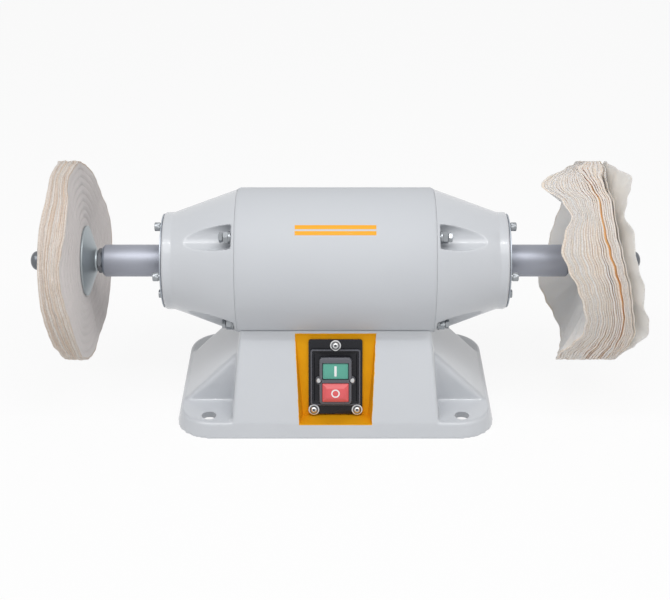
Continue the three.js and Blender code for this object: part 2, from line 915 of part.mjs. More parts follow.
function rotorCore() {
  const bore = shaftCoreRadius + fitGap;
  const ringEnd = rotorHalfLength + rotorRingLength;
  const core = turned(
    [
      [-ringEnd, bore],
      [-ringEnd, rotorRingOuterRadius],
      [-rotorHalfLength, rotorRingOuterRadius],
      [-rotorHalfLength, rotorRadius],
      [rotorHalfLength, rotorRadius],
      [rotorHalfLength, rotorRingOuterRadius],
      [ringEnd, rotorRingOuterRadius],
      [ringEnd, bore],
      [-ringEnd, bore],
    ],
    mediumSides,
  );
  const blades = [];
  for (let k = 0; k < rotorBlades; k++) {
    const blade = box(
      2 * (ringEnd + rotorBladeLength),
      rotorBladeThickness,
      rotorBladeHeight,
      0,
      0,
      rotorRingOuterRadius - rotorBladeHeight / 2 - rotorBladeThickness,
    );
    blades.push(blade.rotateX((k / rotorBlades) * fullTurn));
  }
  return joined(core, ...blades);
}

function rotorShaft() {
  const half = [
    [shaftSeatStart, shaftCoreRadius],
    [shaftSeatStart, shaftSeatRadius],
    [threadStart, shaftSeatRadius],
    [threadStart, shaftThreadRadius],
    [shaftThreadEnd - shaftThreadRadius / 4, shaftThreadRadius],
    [shaftThreadEnd, (shaftThreadRadius * 3) / 4],
    [shaftThreadEnd, 0],
  ];
  const other = half.map(([along, radius]) => [-along, radius]).reverse();
  return turned([...other, ...half], mediumSides);
}

// One end shield: a cone with a nose, four pockets for the tie nuts and a hub for the bearing.
function endShield() {
  const start = barrelHalfLength + fitGap;
  const coneEnd = start + shieldConeLength;
  const wallStart = shieldEnd - shieldEndWall;
  const hubStart = bearingBack - fitGap - bearingLip;
  const hubRadius = bearingOuterRadius + fitGap + bearingHubWall;
  const bore = bearingOuterRadius + fitGap;
  const outer = [
    [start, 0],
    [start, shieldMouthRadius],
    [coneEnd, shieldNoseRadius],
    [shieldEnd - shieldNoseEdge, shieldNoseRadius],
    [shieldEnd, shieldNoseRadius - shieldNoseEdge],
    [shieldEnd, 0],
  ];
  const whole = turned(outer, largeSides);
  const inside = turned(
    [
      [start - cutOverrun, 0],
      [start - cutOverrun, shieldMouthRadius - shieldWall],
      [start, shieldMouthRadius - shieldWall],
      [wallStart, shieldNoseRadius - shieldWall],
      [wallStart, hubRadius],
      [hubStart, hubRadius],
      [hubStart, 0],
    ],
    mediumSides,
  );
  const shell = cut(whole, inside);
  const bearingSpace = turned(
    [
      [hubStart - cutOverrun, 0],
      [hubStart - cutOverrun, bearingLipRadius],
      [bearingBack - fitGap, bearingLipRadius],
      [bearingBack - fitGap, bore],
      [shieldEnd + cutOverrun, bore],
      [shieldEnd + cutOverrun, 0],
    ],
    mediumSides,
  );
  const pocketEnd = wallStart + fitGap;
  const jackets = [];
  const cutters = [bearingSpace];
  for (let k = 0; k < 4; k++) {
    const turn = k * quarterTurn + quarterTurn / 2;
    const jacket = rod(start, pocketEnd, pocketRadius + pocketWall, pocketSides);
    jackets.push(shared(jacket.translate(0, 0, tieRodCircle).rotateX(turn), whole));
    const pocket = rod(start + pocketFloor, shieldEnd, pocketRadius, pocketSides);
    cutters.push(pocket.translate(0, 0, tieRodCircle).rotateX(turn));
    const hole = rod(start - cutOverrun, shieldEnd, tieRodRadius + holeGap, holeSides);
    cutters.push(hole.translate(0, 0, tieRodCircle).rotateX(turn));
    const screwHole = rod(
      endCoverFace + fitGap - capScrewLength - fitGap,
      shieldEnd + cutOverrun,
      capScrewRadius + holeGap,
      holeSides,
    );
    cutters.push(screwHole.translate(0, 0, coverScrewCircle).rotateX(k * quarterTurn));
  }
  return cut(joined(shell, ...jackets), ...cutters);
}

function endCover() {
  const start = shieldEnd + fitGap;
  const plate = tube(start, endCoverFace, sleeveRadius + fitGap, endCoverRadius, largeSides);
  const holes = [];
  for (let k = 0; k < 4; k++) {
    const hole = rod(start - cutOverrun, endCoverFace + cutOverrun, capScrewRadius + holeGap, holeSides);
    holes.push(hole.translate(0, 0, coverScrewCircle).rotateX(k * quarterTurn));
  }
  return cut(plate, ...holes);
}

// A socket-head screw with its spring washer, seated at x = 0, its head towards +X.
function capScrew() {
  const headStart = springWasherThickness;
  const headEnd = headStart + capScrewHeadHeight;
  const body = turned(
    [
      [-capScrewLength, 0],
      [-capScrewLength, capScrewRadius],
      [0, capScrewRadius],
      [0, springWasherRadius],
      [headStart, springWasherRadius],
      [headStart, capScrewHeadRadius],
      [headEnd, capScrewHeadRadius],
      [headEnd, 0],
    ],
    smallSides,
  );
  return cut(body, hexBar(headEnd - capScrewSocketDepth, headEnd + cutOverrun, capScrewSocketFlats));
}

function ballCage() {
  const pitch = (shaftSeatRadius + fitGap + bearingOuterRadius) / 2;
  const middle = (bearingBack + bearingFace) / 2;
  const ring = tube(
    middle - cageWidth / 2,
    middle + cageWidth / 2,
    pitch - cageThickness / 2,
    pitch + cageThickness / 2,
    mediumSides,
  );
  const balls = [];
  for (let k = 0; k < ballCount; k++) {
    const ball = new THREE.SphereGeometry(ballRadius, ballSides, ballRings).translate(middle, 0, pitch);
    balls.push(ball.rotateX((k / ballCount) * fullTurn));
  }
  return joined(ring, ...balls);
}

function sleeve() {
  return turned(
    [
      [bearingFace + fitGap, shaftSeatRadius + fitGap],
      [bearingFace + fitGap, sleeveRadius],
      [sleeveEnd - sleeveEdge, sleeveRadius],
      [sleeveEnd, sleeveRadius - sleeveEdge],
      [sleeveEnd, shaftSeatRadius + fitGap],
      [bearingFace + fitGap, shaftSeatRadius + fitGap],
    ],
    mediumSides,
  );
}

function jamNut() {
  const nut = hexBar(jamNutStart, jamNutStart + jamNutHeight, jamNutFlats);
  const bore = rod(jamNutStart - cutOverrun, jamNutStart + jamNutHeight + cutOverrun, buffBore, mediumSides);
  return cut(nut, bore);
}

// A dished clamping flange, its neck at x = 0 and its rim towards +X.
function clampFlange() {
  const rimStart = flangeNeckLength + flangeConeLength;
  const face = rimStart + flangeRimThickness;
  return turned(
    [
      [0, buffBore],
      [0, flangeNeckRadius],
      [flangeNeckLength, flangeNeckRadius],
      [flangeNeckLength, flangeHubRadius],
      [rimStart, flangeRimRadius],
      [face, flangeRimRadius],
      [face, buffBore],
      [0, buffBore],
    ],
    flangeSides,
  );
}

// A domed nut that closes the spindle's end.
function capNut() {
  const hexEnd = capNutStart + capNutHexHeight;
  const domeStart = hexEnd + capNutDomeCylinder;
  const profile = [
    [capNutStart + fitGap, 0],
    [capNutStart + fitGap, capNutDomeRadius],
  ];
  for (let i = 0; i <= domeSteps; i++) {
    const angle = (i / domeSteps) * quarterTurn;
    const along = domeStart + (capNutTip - domeStart) * Math.sin(angle);
    profile.push([along, i === domeSteps ? 0 : capNutDomeRadius * Math.cos(angle)]);
  }
  const bore = rod(capNutStart - cutOverrun, shaftThreadEnd + fitGap, buffBore, mediumSides);
  return cut(joined(hexBar(capNutStart, hexEnd, capNutFlats), turned(profile, mediumSides)), bore);
}

// The sewn buff: stitched rings on both faces, grooves between the plies at its rim, and a slightly bent rim.
function sewnBuff() {
  const [start, end] = [buffStart, buffStart + buffWidth];
  const inner = [
    [start, buffBore],
    [start, buffClampRadius],
  ];
  for (const radius of sewnStitchRadii) {
    inner.push([start, radius - sewnStitchWidth / 2]);
    inner.push([start + sewnStitchDepth, radius]);
    inner.push([start, radius + sewnStitchWidth / 2]);
  }
  inner.push([start, buffRadius - sewnRimRound]);
  inner.push([start + sewnRimRound, buffRadius]);
  const grooves = [];
  for (let k = 1; k <= sewnPlyGrooves; k++) {
    const middle = start + (k / (sewnPlyGrooves + 1)) * buffWidth;
    grooves.push([middle - sewnGrooveWidth / 2, buffRadius]);
    grooves.push([middle, buffRadius - sewnGrooveDepth]);
    grooves.push([middle + sewnGrooveWidth / 2, buffRadius]);
  }
  const outer = inner.map(([along, radius]) => [start + end - along, radius]).reverse();
  const profile = [...inner, ...grooves, ...outer];
  const bend = (along, radius, angle) => {
    const reach = Math.max(0, (radius - buffClampRadius) / (buffRadius - buffClampRadius));
    return sewnLean * roundTable(sewnLeanShares, angle) * reach ** 1.5;
  };
  // The table counts from the front over the top, and the lean is away from the motor.
  return bentRing(profile, sewnSteps, (along, radius, angle) => bend(along, radius, Math.PI - angle));
}

// The loose buff: leaves of cloth held together at the core, each swept aside as it nears the rim.
function looseBuff() {
  const core = tube(buffStart, buffStart + buffWidth, buffBore, looseCoreRadius, mediumSides);
  const leaves = [];
  for (let k = 0; k < looseLeaves; k++) {
    const share = k / (looseLeaves - 1);
    const first = buffStart + looseLeafThickness / 2;
    const last = buffStart + buffWidth - looseLeafThickness / 2;
    const middle = first + (last - first) * share;
    const half = looseLeafThickness / 2;
    const rimHalf = looseRimThickness / 2;
    const inside = looseCoreRadius - cutOverrun;
    const between = (buffClampRadius + buffRadius) / 2;
    const profile = [
      [middle - half, inside],
      [middle - half, buffClampRadius],
      [middle - half, between],
      [middle - rimHalf, buffRadius],
      [middle + rimHalf, buffRadius],
      [middle + half, between],
      [middle + half, buffClampRadius],
      [middle + half, inside],
    ];
    const lean = (along, radius, angle) => {
      const reach = Math.max(0, (radius - buffClampRadius) / (buffRadius - buffClampRadius));
      const inward = -looseLeanIn * roundTable(looseLeanInShares, angle);
      const outward = looseLeanOut * roundTable(looseLeanOutShares, angle);
      return (inward + (outward - inward) * share) * reach ** 1.4;
    };
    leaves.push(bentRing(profile, looseSteps, lean));
  }
  return joined(core, ...leaves);
}

// The black plate round the switch, with its raised frame.
function switchPlate() {
  const plate = roundedPlate(plateHalfWidth, plateHalfHeight, plateCornerRadius, plateThickness);
  const frame = roundedPlate(
    frameHalfWidth,
    frameHalfHeight,
    plateCornerRadius,
    plateThickness + frameHeight,
  );
  const well = roundedPlate(
    frameHalfWidth - frameRim,
    frameHalfHeight - frameRim,
    plateCornerRadius,
    frameHeight + cutOverrun,
  ).translate(0, 0, plateThickness);
  const window = box(
    2 * (switchBodyHalfWidth + fitGap),
    2 * (switchBodyHalfHeight + fitGap),
    2 * cutOverrun,
    0,
    -bezelDrop,
    0,
  );
  const holes = Object.values(plateScrewPlaces).map(([x, y]) =>
    new THREE.CylinderGeometry(
      plateScrewRadius + holeGap,
      plateScrewRadius + holeGap,
      2 * cutOverrun,
      holeSides,
    )
      .rotateX(quarterTurn)
      .translate(x, y, 0),
  );
  const washerSeats = Object.values(plateScrewPlaces).map(([x, y]) =>
    new THREE.CylinderGeometry(
      plateWasherRadius + fitGap,
      plateWasherRadius + fitGap,
      frameHeight + cutOverrun,
      mediumSides,
    )
      .rotateX(quarterTurn)
      .translate(x, y, plateThickness + (frameHeight + cutOverrun) / 2),
  );
  const smallHoles = [-switchScrewOffset, switchScrewOffset].map((x) =>
    new THREE.CylinderGeometry(
      switchScrewRadius + holeGap,
      switchScrewRadius + holeGap,
      2 * cutOverrun,
      holeSides,
    )
      .rotateX(quarterTurn)
      .translate(x, -bezelDrop, 0),
  );
  return cut(joined(plate, frame), well, window, ...holes, ...washerSeats, ...smallHoles);
}

// The switch: a bezel with two wells and side tabs in front of the plate, the body and its blades behind it.
function switchBody() {
  const seat = plateThickness + fitGap;
  const bezel = roundedPlate(bezelHalfWidth, bezelHalfHeight, bezelCornerRadius, bezelHeight);
  const tabs = box(
    2 * switchTabReach,
    2 * switchTabHalfHeight,
    switchTabThickness,
    0,
    0,
    switchTabThickness / 2,
  );
  const body = box(
    2 * switchBodyHalfWidth,
    2 * switchBodyHalfHeight,
    switchBodyDepth + switchTabThickness,
    0,
    0,
    (switchTabThickness - switchBodyDepth) / 2,
  );
  const blades = [];
  for (const x of [-1, 1]) {
    for (const y of [-1, 1]) {
      blades.push(
        box(
          2 * switchBladeHalfWidth,
          switchBladeThickness,
          2 * switchBladeLength,
          (x * switchBodyHalfWidth) / 2,
          y * switchBladeOffset,
          -switchBodyDepth,
        ),
      );
    }
  }
  const wellSpace = (halfWidth, halfHeight, y) =>
    box(
      2 * (halfWidth + buttonClearance),
      2 * (halfHeight + buttonClearance),
      buttonWellDepth + cutOverrun,
      0,
      y,
      bezelHeight - buttonWellDepth + (buttonWellDepth + cutOverrun) / 2,
    );
  const holes = [-switchScrewOffset, switchScrewOffset].map((x) =>
    new THREE.CylinderGeometry(
      switchScrewRadius + holeGap,
      switchScrewRadius + holeGap,
      2 * cutOverrun,
      holeSides,
    )
      .rotateX(quarterTurn)
      .translate(x, 0, 0),
  );
  const headSeats = [-switchScrewOffset, switchScrewOffset].map((x) =>
    new THREE.CylinderGeometry(
      switchScrewHeadRadius + holeGap,
      switchScrewHeadRadius + holeGap,
      bezelHeight + cutOverrun,
      holeSides,
    )
      .rotateX(quarterTurn)
      .translate(x, 0, switchTabThickness + (bezelHeight + cutOverrun) / 2),
  );
  const made = cut(
    joined(bezel, tabs, body, ...blades),
    wellSpace(startHalfWidth, startHalfHeight, startRise),
    wellSpace(stopHalfWidth, stopHalfHeight, -stopDrop),
    ...holes,
    ...headSeats,
  );
  return made.translate(0, -bezelDrop, seat);
}

// A button with a bevelled face, its foot at z = 0.
function button(halfWidth, halfHeight, height, bevel) {
  const radius = buttonClearance;
  return stacked(
    [
      { z: 0, halfX: halfWidth, halfY: halfHeight, radius },
      { z: height - bevel, halfX: halfWidth, halfY: halfHeight, radius },
      { z: height, halfX: halfWidth - bevel, halfY: halfHeight - bevel, radius },
    ],
    1,
  );
}

// A button-head screw with its washer, seated at x = 0, its head towards +X.
function plateScrew() {
  const headStart = plateWasherThickness;
  const headEnd = headStart + plateScrewHeadHeight;
  const body = turned(
    [
      [-plateScrewLength, 0],
      [-plateScrewLength, plateScrewRadius],
      [0, plateScrewRadius],
      [0, plateWasherRadius],
      [headStart, plateWasherRadius],
      [headStart, plateScrewHeadRadius],
      [headStart + plateScrewHeadHeight / 2, plateScrewHeadRadius * Math.cos(quarterTurn / 3)],
      [headEnd, plateScrewHeadRadius / 2],
      [headEnd, 0],
    ],
    mediumSides,
  );
  return cut(body, hexBar(headEnd - plateSocketDepth, headEnd + cutOverrun, plateSocketFlats));
}

// The gland, its seat on the casting at x = 0 and its cable end towards +X.
function cableGland() {
  const domeEnd = glandHexHeight + glandDomeLength;
  const lockEnd = -baseWall - 2 * fitGap;
  const hex = hexBar(fitGap, glandHexHeight, glandFlats);
  const rest = turned(
    [
      [lockEnd - glandLockHeight - fitGap, 0],
      [lockEnd - glandLockHeight - fitGap, glandThreadRadius],
      [glandHexHeight, glandThreadRadius],
      [glandHexHeight, glandDomeRadius],
      [glandHexHeight + glandDomeLength / 2, glandDomeRadius],
      [domeEnd, (glandBoreRadius + glandDomeRadius) / 2],
      [domeEnd, 0],
    ],
    mediumSides,
  );
  const lock = hexBar(lockEnd - glandLockHeight, lockEnd, glandLockFlats);
  const bore = rod(-glandDomeLength - glandLockHeight - baseWall, domeEnd + cutOverrun, glandBoreRadius, smallSides);
  return cut(joined(hex, rest, lock), bore);
}

// A lead of round section through hand-placed points.
function lead(points) {
  const section = new THREE.Shape();
  for (let i = 0; i < leadSides; i++) {
    const angle = (i / leadSides) * fullTurn;
    const [x, y] = [leadRadius * Math.cos(angle), leadRadius * Math.sin(angle)];
    if (i === 0) {
      section.moveTo(x, y);
    } else {
      section.lineTo(x, y);
    }
  }
  const path = new THREE.CatmullRomCurve3(points.map((p) => new THREE.Vector3(...p)));
  return new THREE.ExtrudeGeometry(section, { steps: leadSteps, extrudePath: path, bevelEnabled: false });
}

// Everything that repeats at both ends. It is made for the right end, and the left end is turned half round.
function endAssembly(side) {
  const group = new THREE.Group();
  group.rotation.z = side === "left" ? Math.PI : 0;
  const add = (name, geometry, material) => {
    const made = mesh(`${name}_${side}`, geometry, material);
    group.add(made);
    return made;
  };
  add("end_shield", endShield(), greyPaint);
  add("end_cover", endCover(), paleAluminium);
  const screwNames = ["top", side === "left" ? "rear" : "front", "bottom", side === "left" ? "front" : "rear"];
  screwNames.forEach((place, k) => {
    const screw = mesh(`cover_screw_${side}_${place}`, capScrew(), zincSteel);
    screw.position.set(
      endCoverFace + fitGap,
      -coverScrewCircle * Math.sin(k * quarterTurn),
      coverScrewCircle * Math.cos(k * quarterTurn),
    );
    group.add(screw);
  });
  const bearingOuter = tube(
    bearingBack,
    bearingFace,
    bearingOuterRadius - raceThickness,
    bearingOuterRadius,
    mediumSides,
  );
  const bearingInner = tube(
    bearingBack,
    bearingFace,
    shaftSeatRadius + fitGap,
    shaftSeatRadius + fitGap + raceThickness,
    mediumSides,
  );
  add("bearing_outer_ring", bearingOuter, darkSteel);
  add("bearing_inner_ring", bearingInner, darkSteel);
  add("bearing_cage", ballCage(), darkSteel);
  add("winding_head", windingHead(), copper);
  add("spindle_sleeve", sleeve(), turnedSteel);
  add("jam_nut", jamNut(), zincSteel);
  add("inner_flange", clampFlange(), turnedSteel).position.x = innerFlangeStart;
  const outerFlange = add("outer_flange", clampFlange(), turnedSteel);
  outerFlange.rotation.z = Math.PI;
  outerFlange.position.x = outerFlangeStart + flangeLength;
  add("cap_nut", capNut(), zincSteel);
  return group;
}

function motor() {
  const group = new THREE.Group();
  group.position.z = shaftHeight;
  group.add(mesh("motor_housing", motorHousing(), greyPaint));
  const corners = ["upper_rear", "lower_rear", "lower_front", "upper_front"];
  corners.forEach((place, k) => {
    const turn = (k + 1 / 2) * quarterTurn;
    const made = mesh(`tie_rod_${place}`, tieRod(), zincSteel);
    made.position.set(0, tieRodCircle * Math.sin(turn), tieRodCircle * Math.cos(turn));
    group.add(made);
  });
  group.add(mesh("stator_core", statorCore(), darkSteel));
  group.add(mesh("rotor_core", rotorCore(), paleAluminium));
  group.add(mesh("rotor_shaft", rotorShaft(), turnedSteel));
  const left = endAssembly("left");
  left.add(mesh("sewn_buff", sewnBuff(), cotton));
  const right = endAssembly("right");
  right.add(mesh("loose_buff", looseBuff(), cotton));
  group.add(left, right);
  return group;
}

function base() {
  const group = new THREE.Group();
  group.add(mesh("base_casting", baseCasting(), greyPaint));
  const cover = mesh("base_cover_plate", baseCover(), zincSteel);
  cover.position.z = coverFloorGap;
  group.add(cover);
  for (const [side, sign] of [["left", -1], ["right", 1]]) {
    const screw = plainScrew(coverScrewHeadRadius, coverScrewHeadHeight, coverScrewRadius, coverScrewLength);
    const coverScrew = mesh(`base_screw_${side}`, screw, zincSteel);
    coverScrew.rotation.y = -quarterTurn;
    coverScrew.position.set(sign * coverBossX, 0, coverFloorGap - fitGap);
    group.add(coverScrew);
    const bolt = mesh(`saddle_bolt_${side}`, saddleBolt(), zincSteel);
    bolt.rotation.y = -quarterTurn;
    bolt.position.set(sign * saddleBoltX, 0, shaftHeight - saddleRadius - baseWall - fitGap);
    group.add(bolt);
  }
  const can = mesh("run_capacitor", capacitor(), paleAluminium);
  can.position.set(capacitorX, capacitorY, coverTop + fitGap + capacitorRadius);
  group.add(can);
  const block = mesh("terminal_block", terminalBlock(), blackPlastic);
  block.position.set(terminalX, terminalY, coverTop + fitGap);
  group.add(block);
  const gland = mesh("cable_gland", cableGland(), blackPlastic);
  gland.rotation.set(0, -glandTilt, quarterTurn, "ZYX");
  gland.position.set(glandX, glandY, glandHeight);
  group.add(gland);
  const blockTop = coverTop + fitGap + terminalHeight + fitGap;
  const leadFootX = terminalX - terminalLength / 2 + leadRadius + fitGap;
  const statorFoot = shaftHeight - statorRadius;
  group.add(
    mesh(
      "motor_lead",
      lead([
        [leadFootX, terminalY, blockTop],
        [leadFootX, terminalY, blockTop + terminalHeight / 2],
        [terminalX / 3, (terminalY * 3) / 4, blockTop + terminalHeight],
        [leadRadius, terminalY / 3, blockTop + 2 * terminalHeight],
        [0, 0, statorFoot - 2 * leadHoleRadius],
        [0, 0, statorFoot - fitGap - leadRadius / 2],
      ]),
      rubber,
    ),
  );
  return group;
}

function controls() {
  const group = switchFrame;
  const plate = mesh("switch_plate", switchPlate(), blackPlastic);
  plate.position.z = fitGap;
  group.add(plate);
  const body = mesh("switch_body", switchBody(), greyPlastic);
  body.position.z = fitGap;
  group.add(body);
  const bezelFace = fitGap + plateThickness + fitGap + bezelHeight;
  const start = button(startHalfWidth, startHalfHeight, buttonDepth - startSink, buttonClearance);
  const startButton = mesh("start_button", start, greenPlastic);
  startButton.position.set(0, startRise - bezelDrop, bezelFace - buttonDepth);
  const stop = button(stopHalfWidth, stopHalfHeight, buttonDepth + stopProud, stopBevel);
  const stopButton = mesh("stop_button", stop, redPlastic);
  stopButton.position.set(0, -stopDrop - bezelDrop, bezelFace - buttonDepth);
  group.add(startButton, stopButton);
  const tabFace = fitGap + plateThickness + fitGap + switchTabThickness + fitGap;
  for (const [side, sign] of [["left", -1], ["right", 1]]) {
    const small = plainScrew(
      switchScrewHeadRadius,
      switchScrewHeadHeight,
      switchScrewRadius,
      switchScrewLength,
    );
    const screw = mesh(`switch_screw_${side}`, small, zincSteel);
    screw.rotation.y = quarterTurn;
    screw.position.set(sign * switchScrewOffset, -bezelDrop, tabFace);
    group.add(screw);
  }
  for (const [place, [x, y]] of Object.entries(plateScrewPlaces)) {
    const screw = mesh(`plate_screw_${place}`, plateScrew(), zincSteel);
    screw.rotation.y = -quarterTurn;
    screw.position.set(x, y, fitGap + plateThickness + fitGap);
    group.add(screw);
  }
  return group;
}

const machine = new THREE.Group();
machine.add(base(), motor(), controls());

export default machine;
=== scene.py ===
import math
import bmesh
import bpy
from mathutils import Matrix, Vector, noise


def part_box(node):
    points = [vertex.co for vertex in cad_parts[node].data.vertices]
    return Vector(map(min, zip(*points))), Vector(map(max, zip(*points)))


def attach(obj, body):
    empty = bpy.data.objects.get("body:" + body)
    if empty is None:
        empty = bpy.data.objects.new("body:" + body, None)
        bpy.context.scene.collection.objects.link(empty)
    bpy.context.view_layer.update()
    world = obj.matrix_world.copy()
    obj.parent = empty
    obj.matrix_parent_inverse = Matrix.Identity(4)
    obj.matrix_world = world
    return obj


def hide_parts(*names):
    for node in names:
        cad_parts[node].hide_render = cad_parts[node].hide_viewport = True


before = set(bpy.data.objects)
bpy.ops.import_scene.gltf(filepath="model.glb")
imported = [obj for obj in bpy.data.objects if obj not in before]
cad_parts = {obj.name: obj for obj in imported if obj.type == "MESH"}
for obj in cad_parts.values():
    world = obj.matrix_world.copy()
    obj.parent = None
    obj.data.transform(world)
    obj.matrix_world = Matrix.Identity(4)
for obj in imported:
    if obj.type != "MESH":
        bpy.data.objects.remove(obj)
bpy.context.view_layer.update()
print("frame loaded with", len(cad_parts), "nodes")


class Values(dict):
    # the values of one piece, also read by name
    __getattr__ = dict.__getitem__


def shift(x, y, z):
    return Matrix.Translation((x, y, z))


def turnX(angle):
    return Matrix.Rotation(angle, 4, "X")


def turnY(angle):
    return Matrix.Rotation(angle, 4, "Y")


def turnZ(angle):
    return Matrix.Rotation(angle, 4, "Z")


quarter = math.pi / 2
# how far a cutter runs past what it cuts
past = 0.01
shaftLow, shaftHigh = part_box("rotor_shaft")
axisHeight = (shaftLow.z + shaftHigh.z) / 2
onAxis = shift(0, 0, axisHeight)
halfRound = turnZ(math.pi)
# from along X to along Z
upright = turnY(-quarter)
ends = (Matrix(), halfRound)


# Modelling by hand, in code

def only(*pieces):
    # an operator acts on all that is selected, so just these are
    bpy.ops.object.select_all(action="DESELECT")
    for piece in pieces:
        piece.select_set(True)
    bpy.context.view_layer.objects.active = pieces[0]


def fresh(name, add, **settings):
    # a new primitive, with nothing else selected
    bpy.ops.object.select_all(action="DESELECT")
    add(**settings)
    piece = bpy.context.object
    piece.name = name
    return piece


def edit(piece, kind="FACE"):
    only(piece)
    bpy.ops.object.mode_set(mode="EDIT")
    bpy.ops.mesh.select_mode(type=kind)
    bpy.ops.mesh.select_all(action="DESELECT")


def done():
    bpy.ops.object.mode_set(mode="OBJECT")


def pickFaces(piece, wanted):
    # selects the faces whose normal passes the test
    mesh = bmesh.from_edit_mesh(piece.data)
    for face in mesh.faces:
        face.select_set(bool(wanted(face.normal)))
    bmesh.update_edit_mesh(piece.data)


def pickEdges(piece, wanted):
    # selects the edges whose middle and direction pass the test
    mesh = bmesh.from_edit_mesh(piece.data)
    for edge in mesh.edges:
        first, second = (vertex.co for vertex in edge.verts)
        edge.select_set(bool(wanted((first + second) / 2, (second - first).normalized())))
    bmesh.update_edit_mesh(piece.data)


def bevelEdges(piece, offset, segments, wanted):
    # in edit mode, then back in object mode
    bpy.ops.mesh.select_mode(type="EDGE")
    pickEdges(piece, wanted)
    bpy.ops.mesh.bevel(offset=offset, segments=segments, affect="EDGES")
    done()
    return piece


def scaleTo(shareX, shareY):
    bpy.ops.transform.resize(value=(shareX, shareY, 1), center_override=(0, 0, 0))


def raiseFaces(height):
    bpy.ops.mesh.extrude_region_move(TRANSFORM_OT_translate={"value": (0, 0, height)})


def apply(piece, kind, **settings):
    only(piece)
    step = piece.modifiers.new("step", kind)
    for name, value in settings.items():
        setattr(step, name, value)
    bpy.ops.object.modifier_apply(modifier=step.name)
    return piece


def settle(piece, matrix=None):
    # the place goes into the mesh, and the object stays at the origin
    only(piece)
    if matrix is not None:
        piece.matrix_world = matrix @ piece.matrix_world
    bpy.ops.object.transform_apply(location=True, rotation=True, scale=True)
    return piece


def turnedPiece(name, sections, sides=96):
    # a ring traced through (along, radius) sections about the X axis
    along, radius = sections[0]
    piece = fresh(
        name, bpy.ops.mesh.primitive_circle_add, vertices=sides, radius=radius, fill_type="NOTHING",
        location=(along, 0, 0), rotation=(0, quarter, 0))
    bpy.ops.object.mode_set(mode="EDIT")
    bpy.ops.mesh.select_mode(type="VERT")
    bpy.ops.mesh.select_all(action="SELECT")
    for nextAlong, nextRadius in sections[1:]:
        bpy.ops.mesh.extrude_region_move(TRANSFORM_OT_translate={"value": (nextAlong - along, 0, 0)})
        grow = nextRadius / radius
        bpy.ops.transform.resize(value=(1, grow, grow), center_override=(nextAlong, 0, 0))
        along, radius = nextAlong, nextRadius
    bpy.ops.mesh.select_all(action="SELECT")
    if sections[0] == sections[-1]:
        bpy.ops.mesh.remove_doubles(threshold=0.000001)
    else:
        bpy.ops.mesh.fill_holes(sides=0)
    bpy.ops.mesh.select_all(action="SELECT")
    bpy.ops.mesh.normals_make_consistent(inside=False)
    done()
    return settle(piece)


def rod(name, start, end, radius, sides=48):
    return turnedPiece(name, [(start, radius), (end, radius)], sides)


def ring(name, start, end, inner, outer, sides=48):
    return turnedPiece(
        name, [(start, inner), (start, outer), (end, outer), (end, inner), (start, inner)], sides)


def block(name, size, middle=(0, 0, 0)):
    return settle(fresh(name, bpy.ops.mesh.primitive_cube_add, size=1, location=middle, scale=size))


def roundedBlock(name, halfWidth, halfHeight, radius, depth, segments=6):
    # a plate in the XY plane with rounded corners, its foot at z = 0
    piece = block(name, (2 * halfWidth, 2 * halfHeight, depth), (0, 0, depth / 2))
    edit(piece)
    return bevelEdges(piece, radius, segments, lambda middle, along: abs(along.z) > 0.9)


def combine(piece, other, operation):
    apply(piece, "BOOLEAN", object=other, operation=operation, solver="EXACT")
    bpy.data.objects.remove(other)
    return piece


def cut(piece, *others):
    for other in others:
        combine(piece, other, "DIFFERENCE")
    return piece


def fuse(piece, other):
    return combine(piece, other, "UNION")


def barPiece(name, start, end, flats):
    # a hexagonal bar along X, chamfered at both ends as a nut is
    corner = flats / math.sqrt(3)
    piece = settle(fresh(
        name, bpy.ops.mesh.primitive_cylinder_add, vertices=6, radius=corner, depth=end - start,
        location=((start + end) / 2, 0, 0), rotation=(0, quarter, 0)))
    chamfer = (corner - flats / 2) * 0.6
    endRadius, wideRadius = flats / 2 * 0.97, corner * 1.01
    return combine(piece, turnedPiece("crown", [
        (start, endRadius), (start + chamfer, wideRadius), (end - chamfer, wideRadius),
        (end, endRadius)], 48), "INTERSECT")


def joinPieces(name, *pieces):
    # pieces that are one part, each closed by itself
    only(*pieces)
    if len(pieces) > 1:
        bpy.ops.object.join()
    pieces[0].name = name
    return pieces[0]


def copyOf(piece, name, matrix):
    only(piece)
    bpy.ops.object.duplicate(linked=False)
    twin = bpy.context.object
    twin.name = name
    return settle(twin, matrix)


def soften(piece, width=0.0003, segments=2, angle=40):
    return apply(piece, "BEVEL", width=width, segments=segments, limit_method="ANGLE",
                 angle_limit=math.radians(angle))


def finish(piece, look, body, nodes=(), smooth=30):
    only(piece)
    bpy.ops.object.shade_smooth_by_angle(angle=math.radians(smooth))
    piece.data.materials.clear()
    piece.data.materials.append(look)
    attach(piece, body)
    if nodes:
        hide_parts(*nodes)
    return piece


def finishPair(right, name, look, node, smooth):
    # the right end's piece, and its copy turned half round
    right.name = name + "_right"
    left = copyOf(right, name + "_left", halfRound)
    for piece, side in ((right, "right"), (left, "left")):
        finish(piece, look, "machine", [f"{node}_{side}"], smooth)


# Looks

def tone(red, green, blue):
    # a colour as seen on a screen, 0 to 255, as the renderer's own
    parts = [part / 255 for part in (red, green, blue)]
    return tuple(p / 12.92 if p < 0.04045 else ((p + 0.055) / 1.055) ** 2.4 for p in parts) + (1.0,)


def dimmed(colour, share):
    return tuple(part * share for part in colour[:3]) + (1.0,)


def operator(kind, turned=False):
    # how a socket is put together with another or with a number
    return lambda one, other: one.look.maths(kind, *((other, one) if turned else (one, other)))


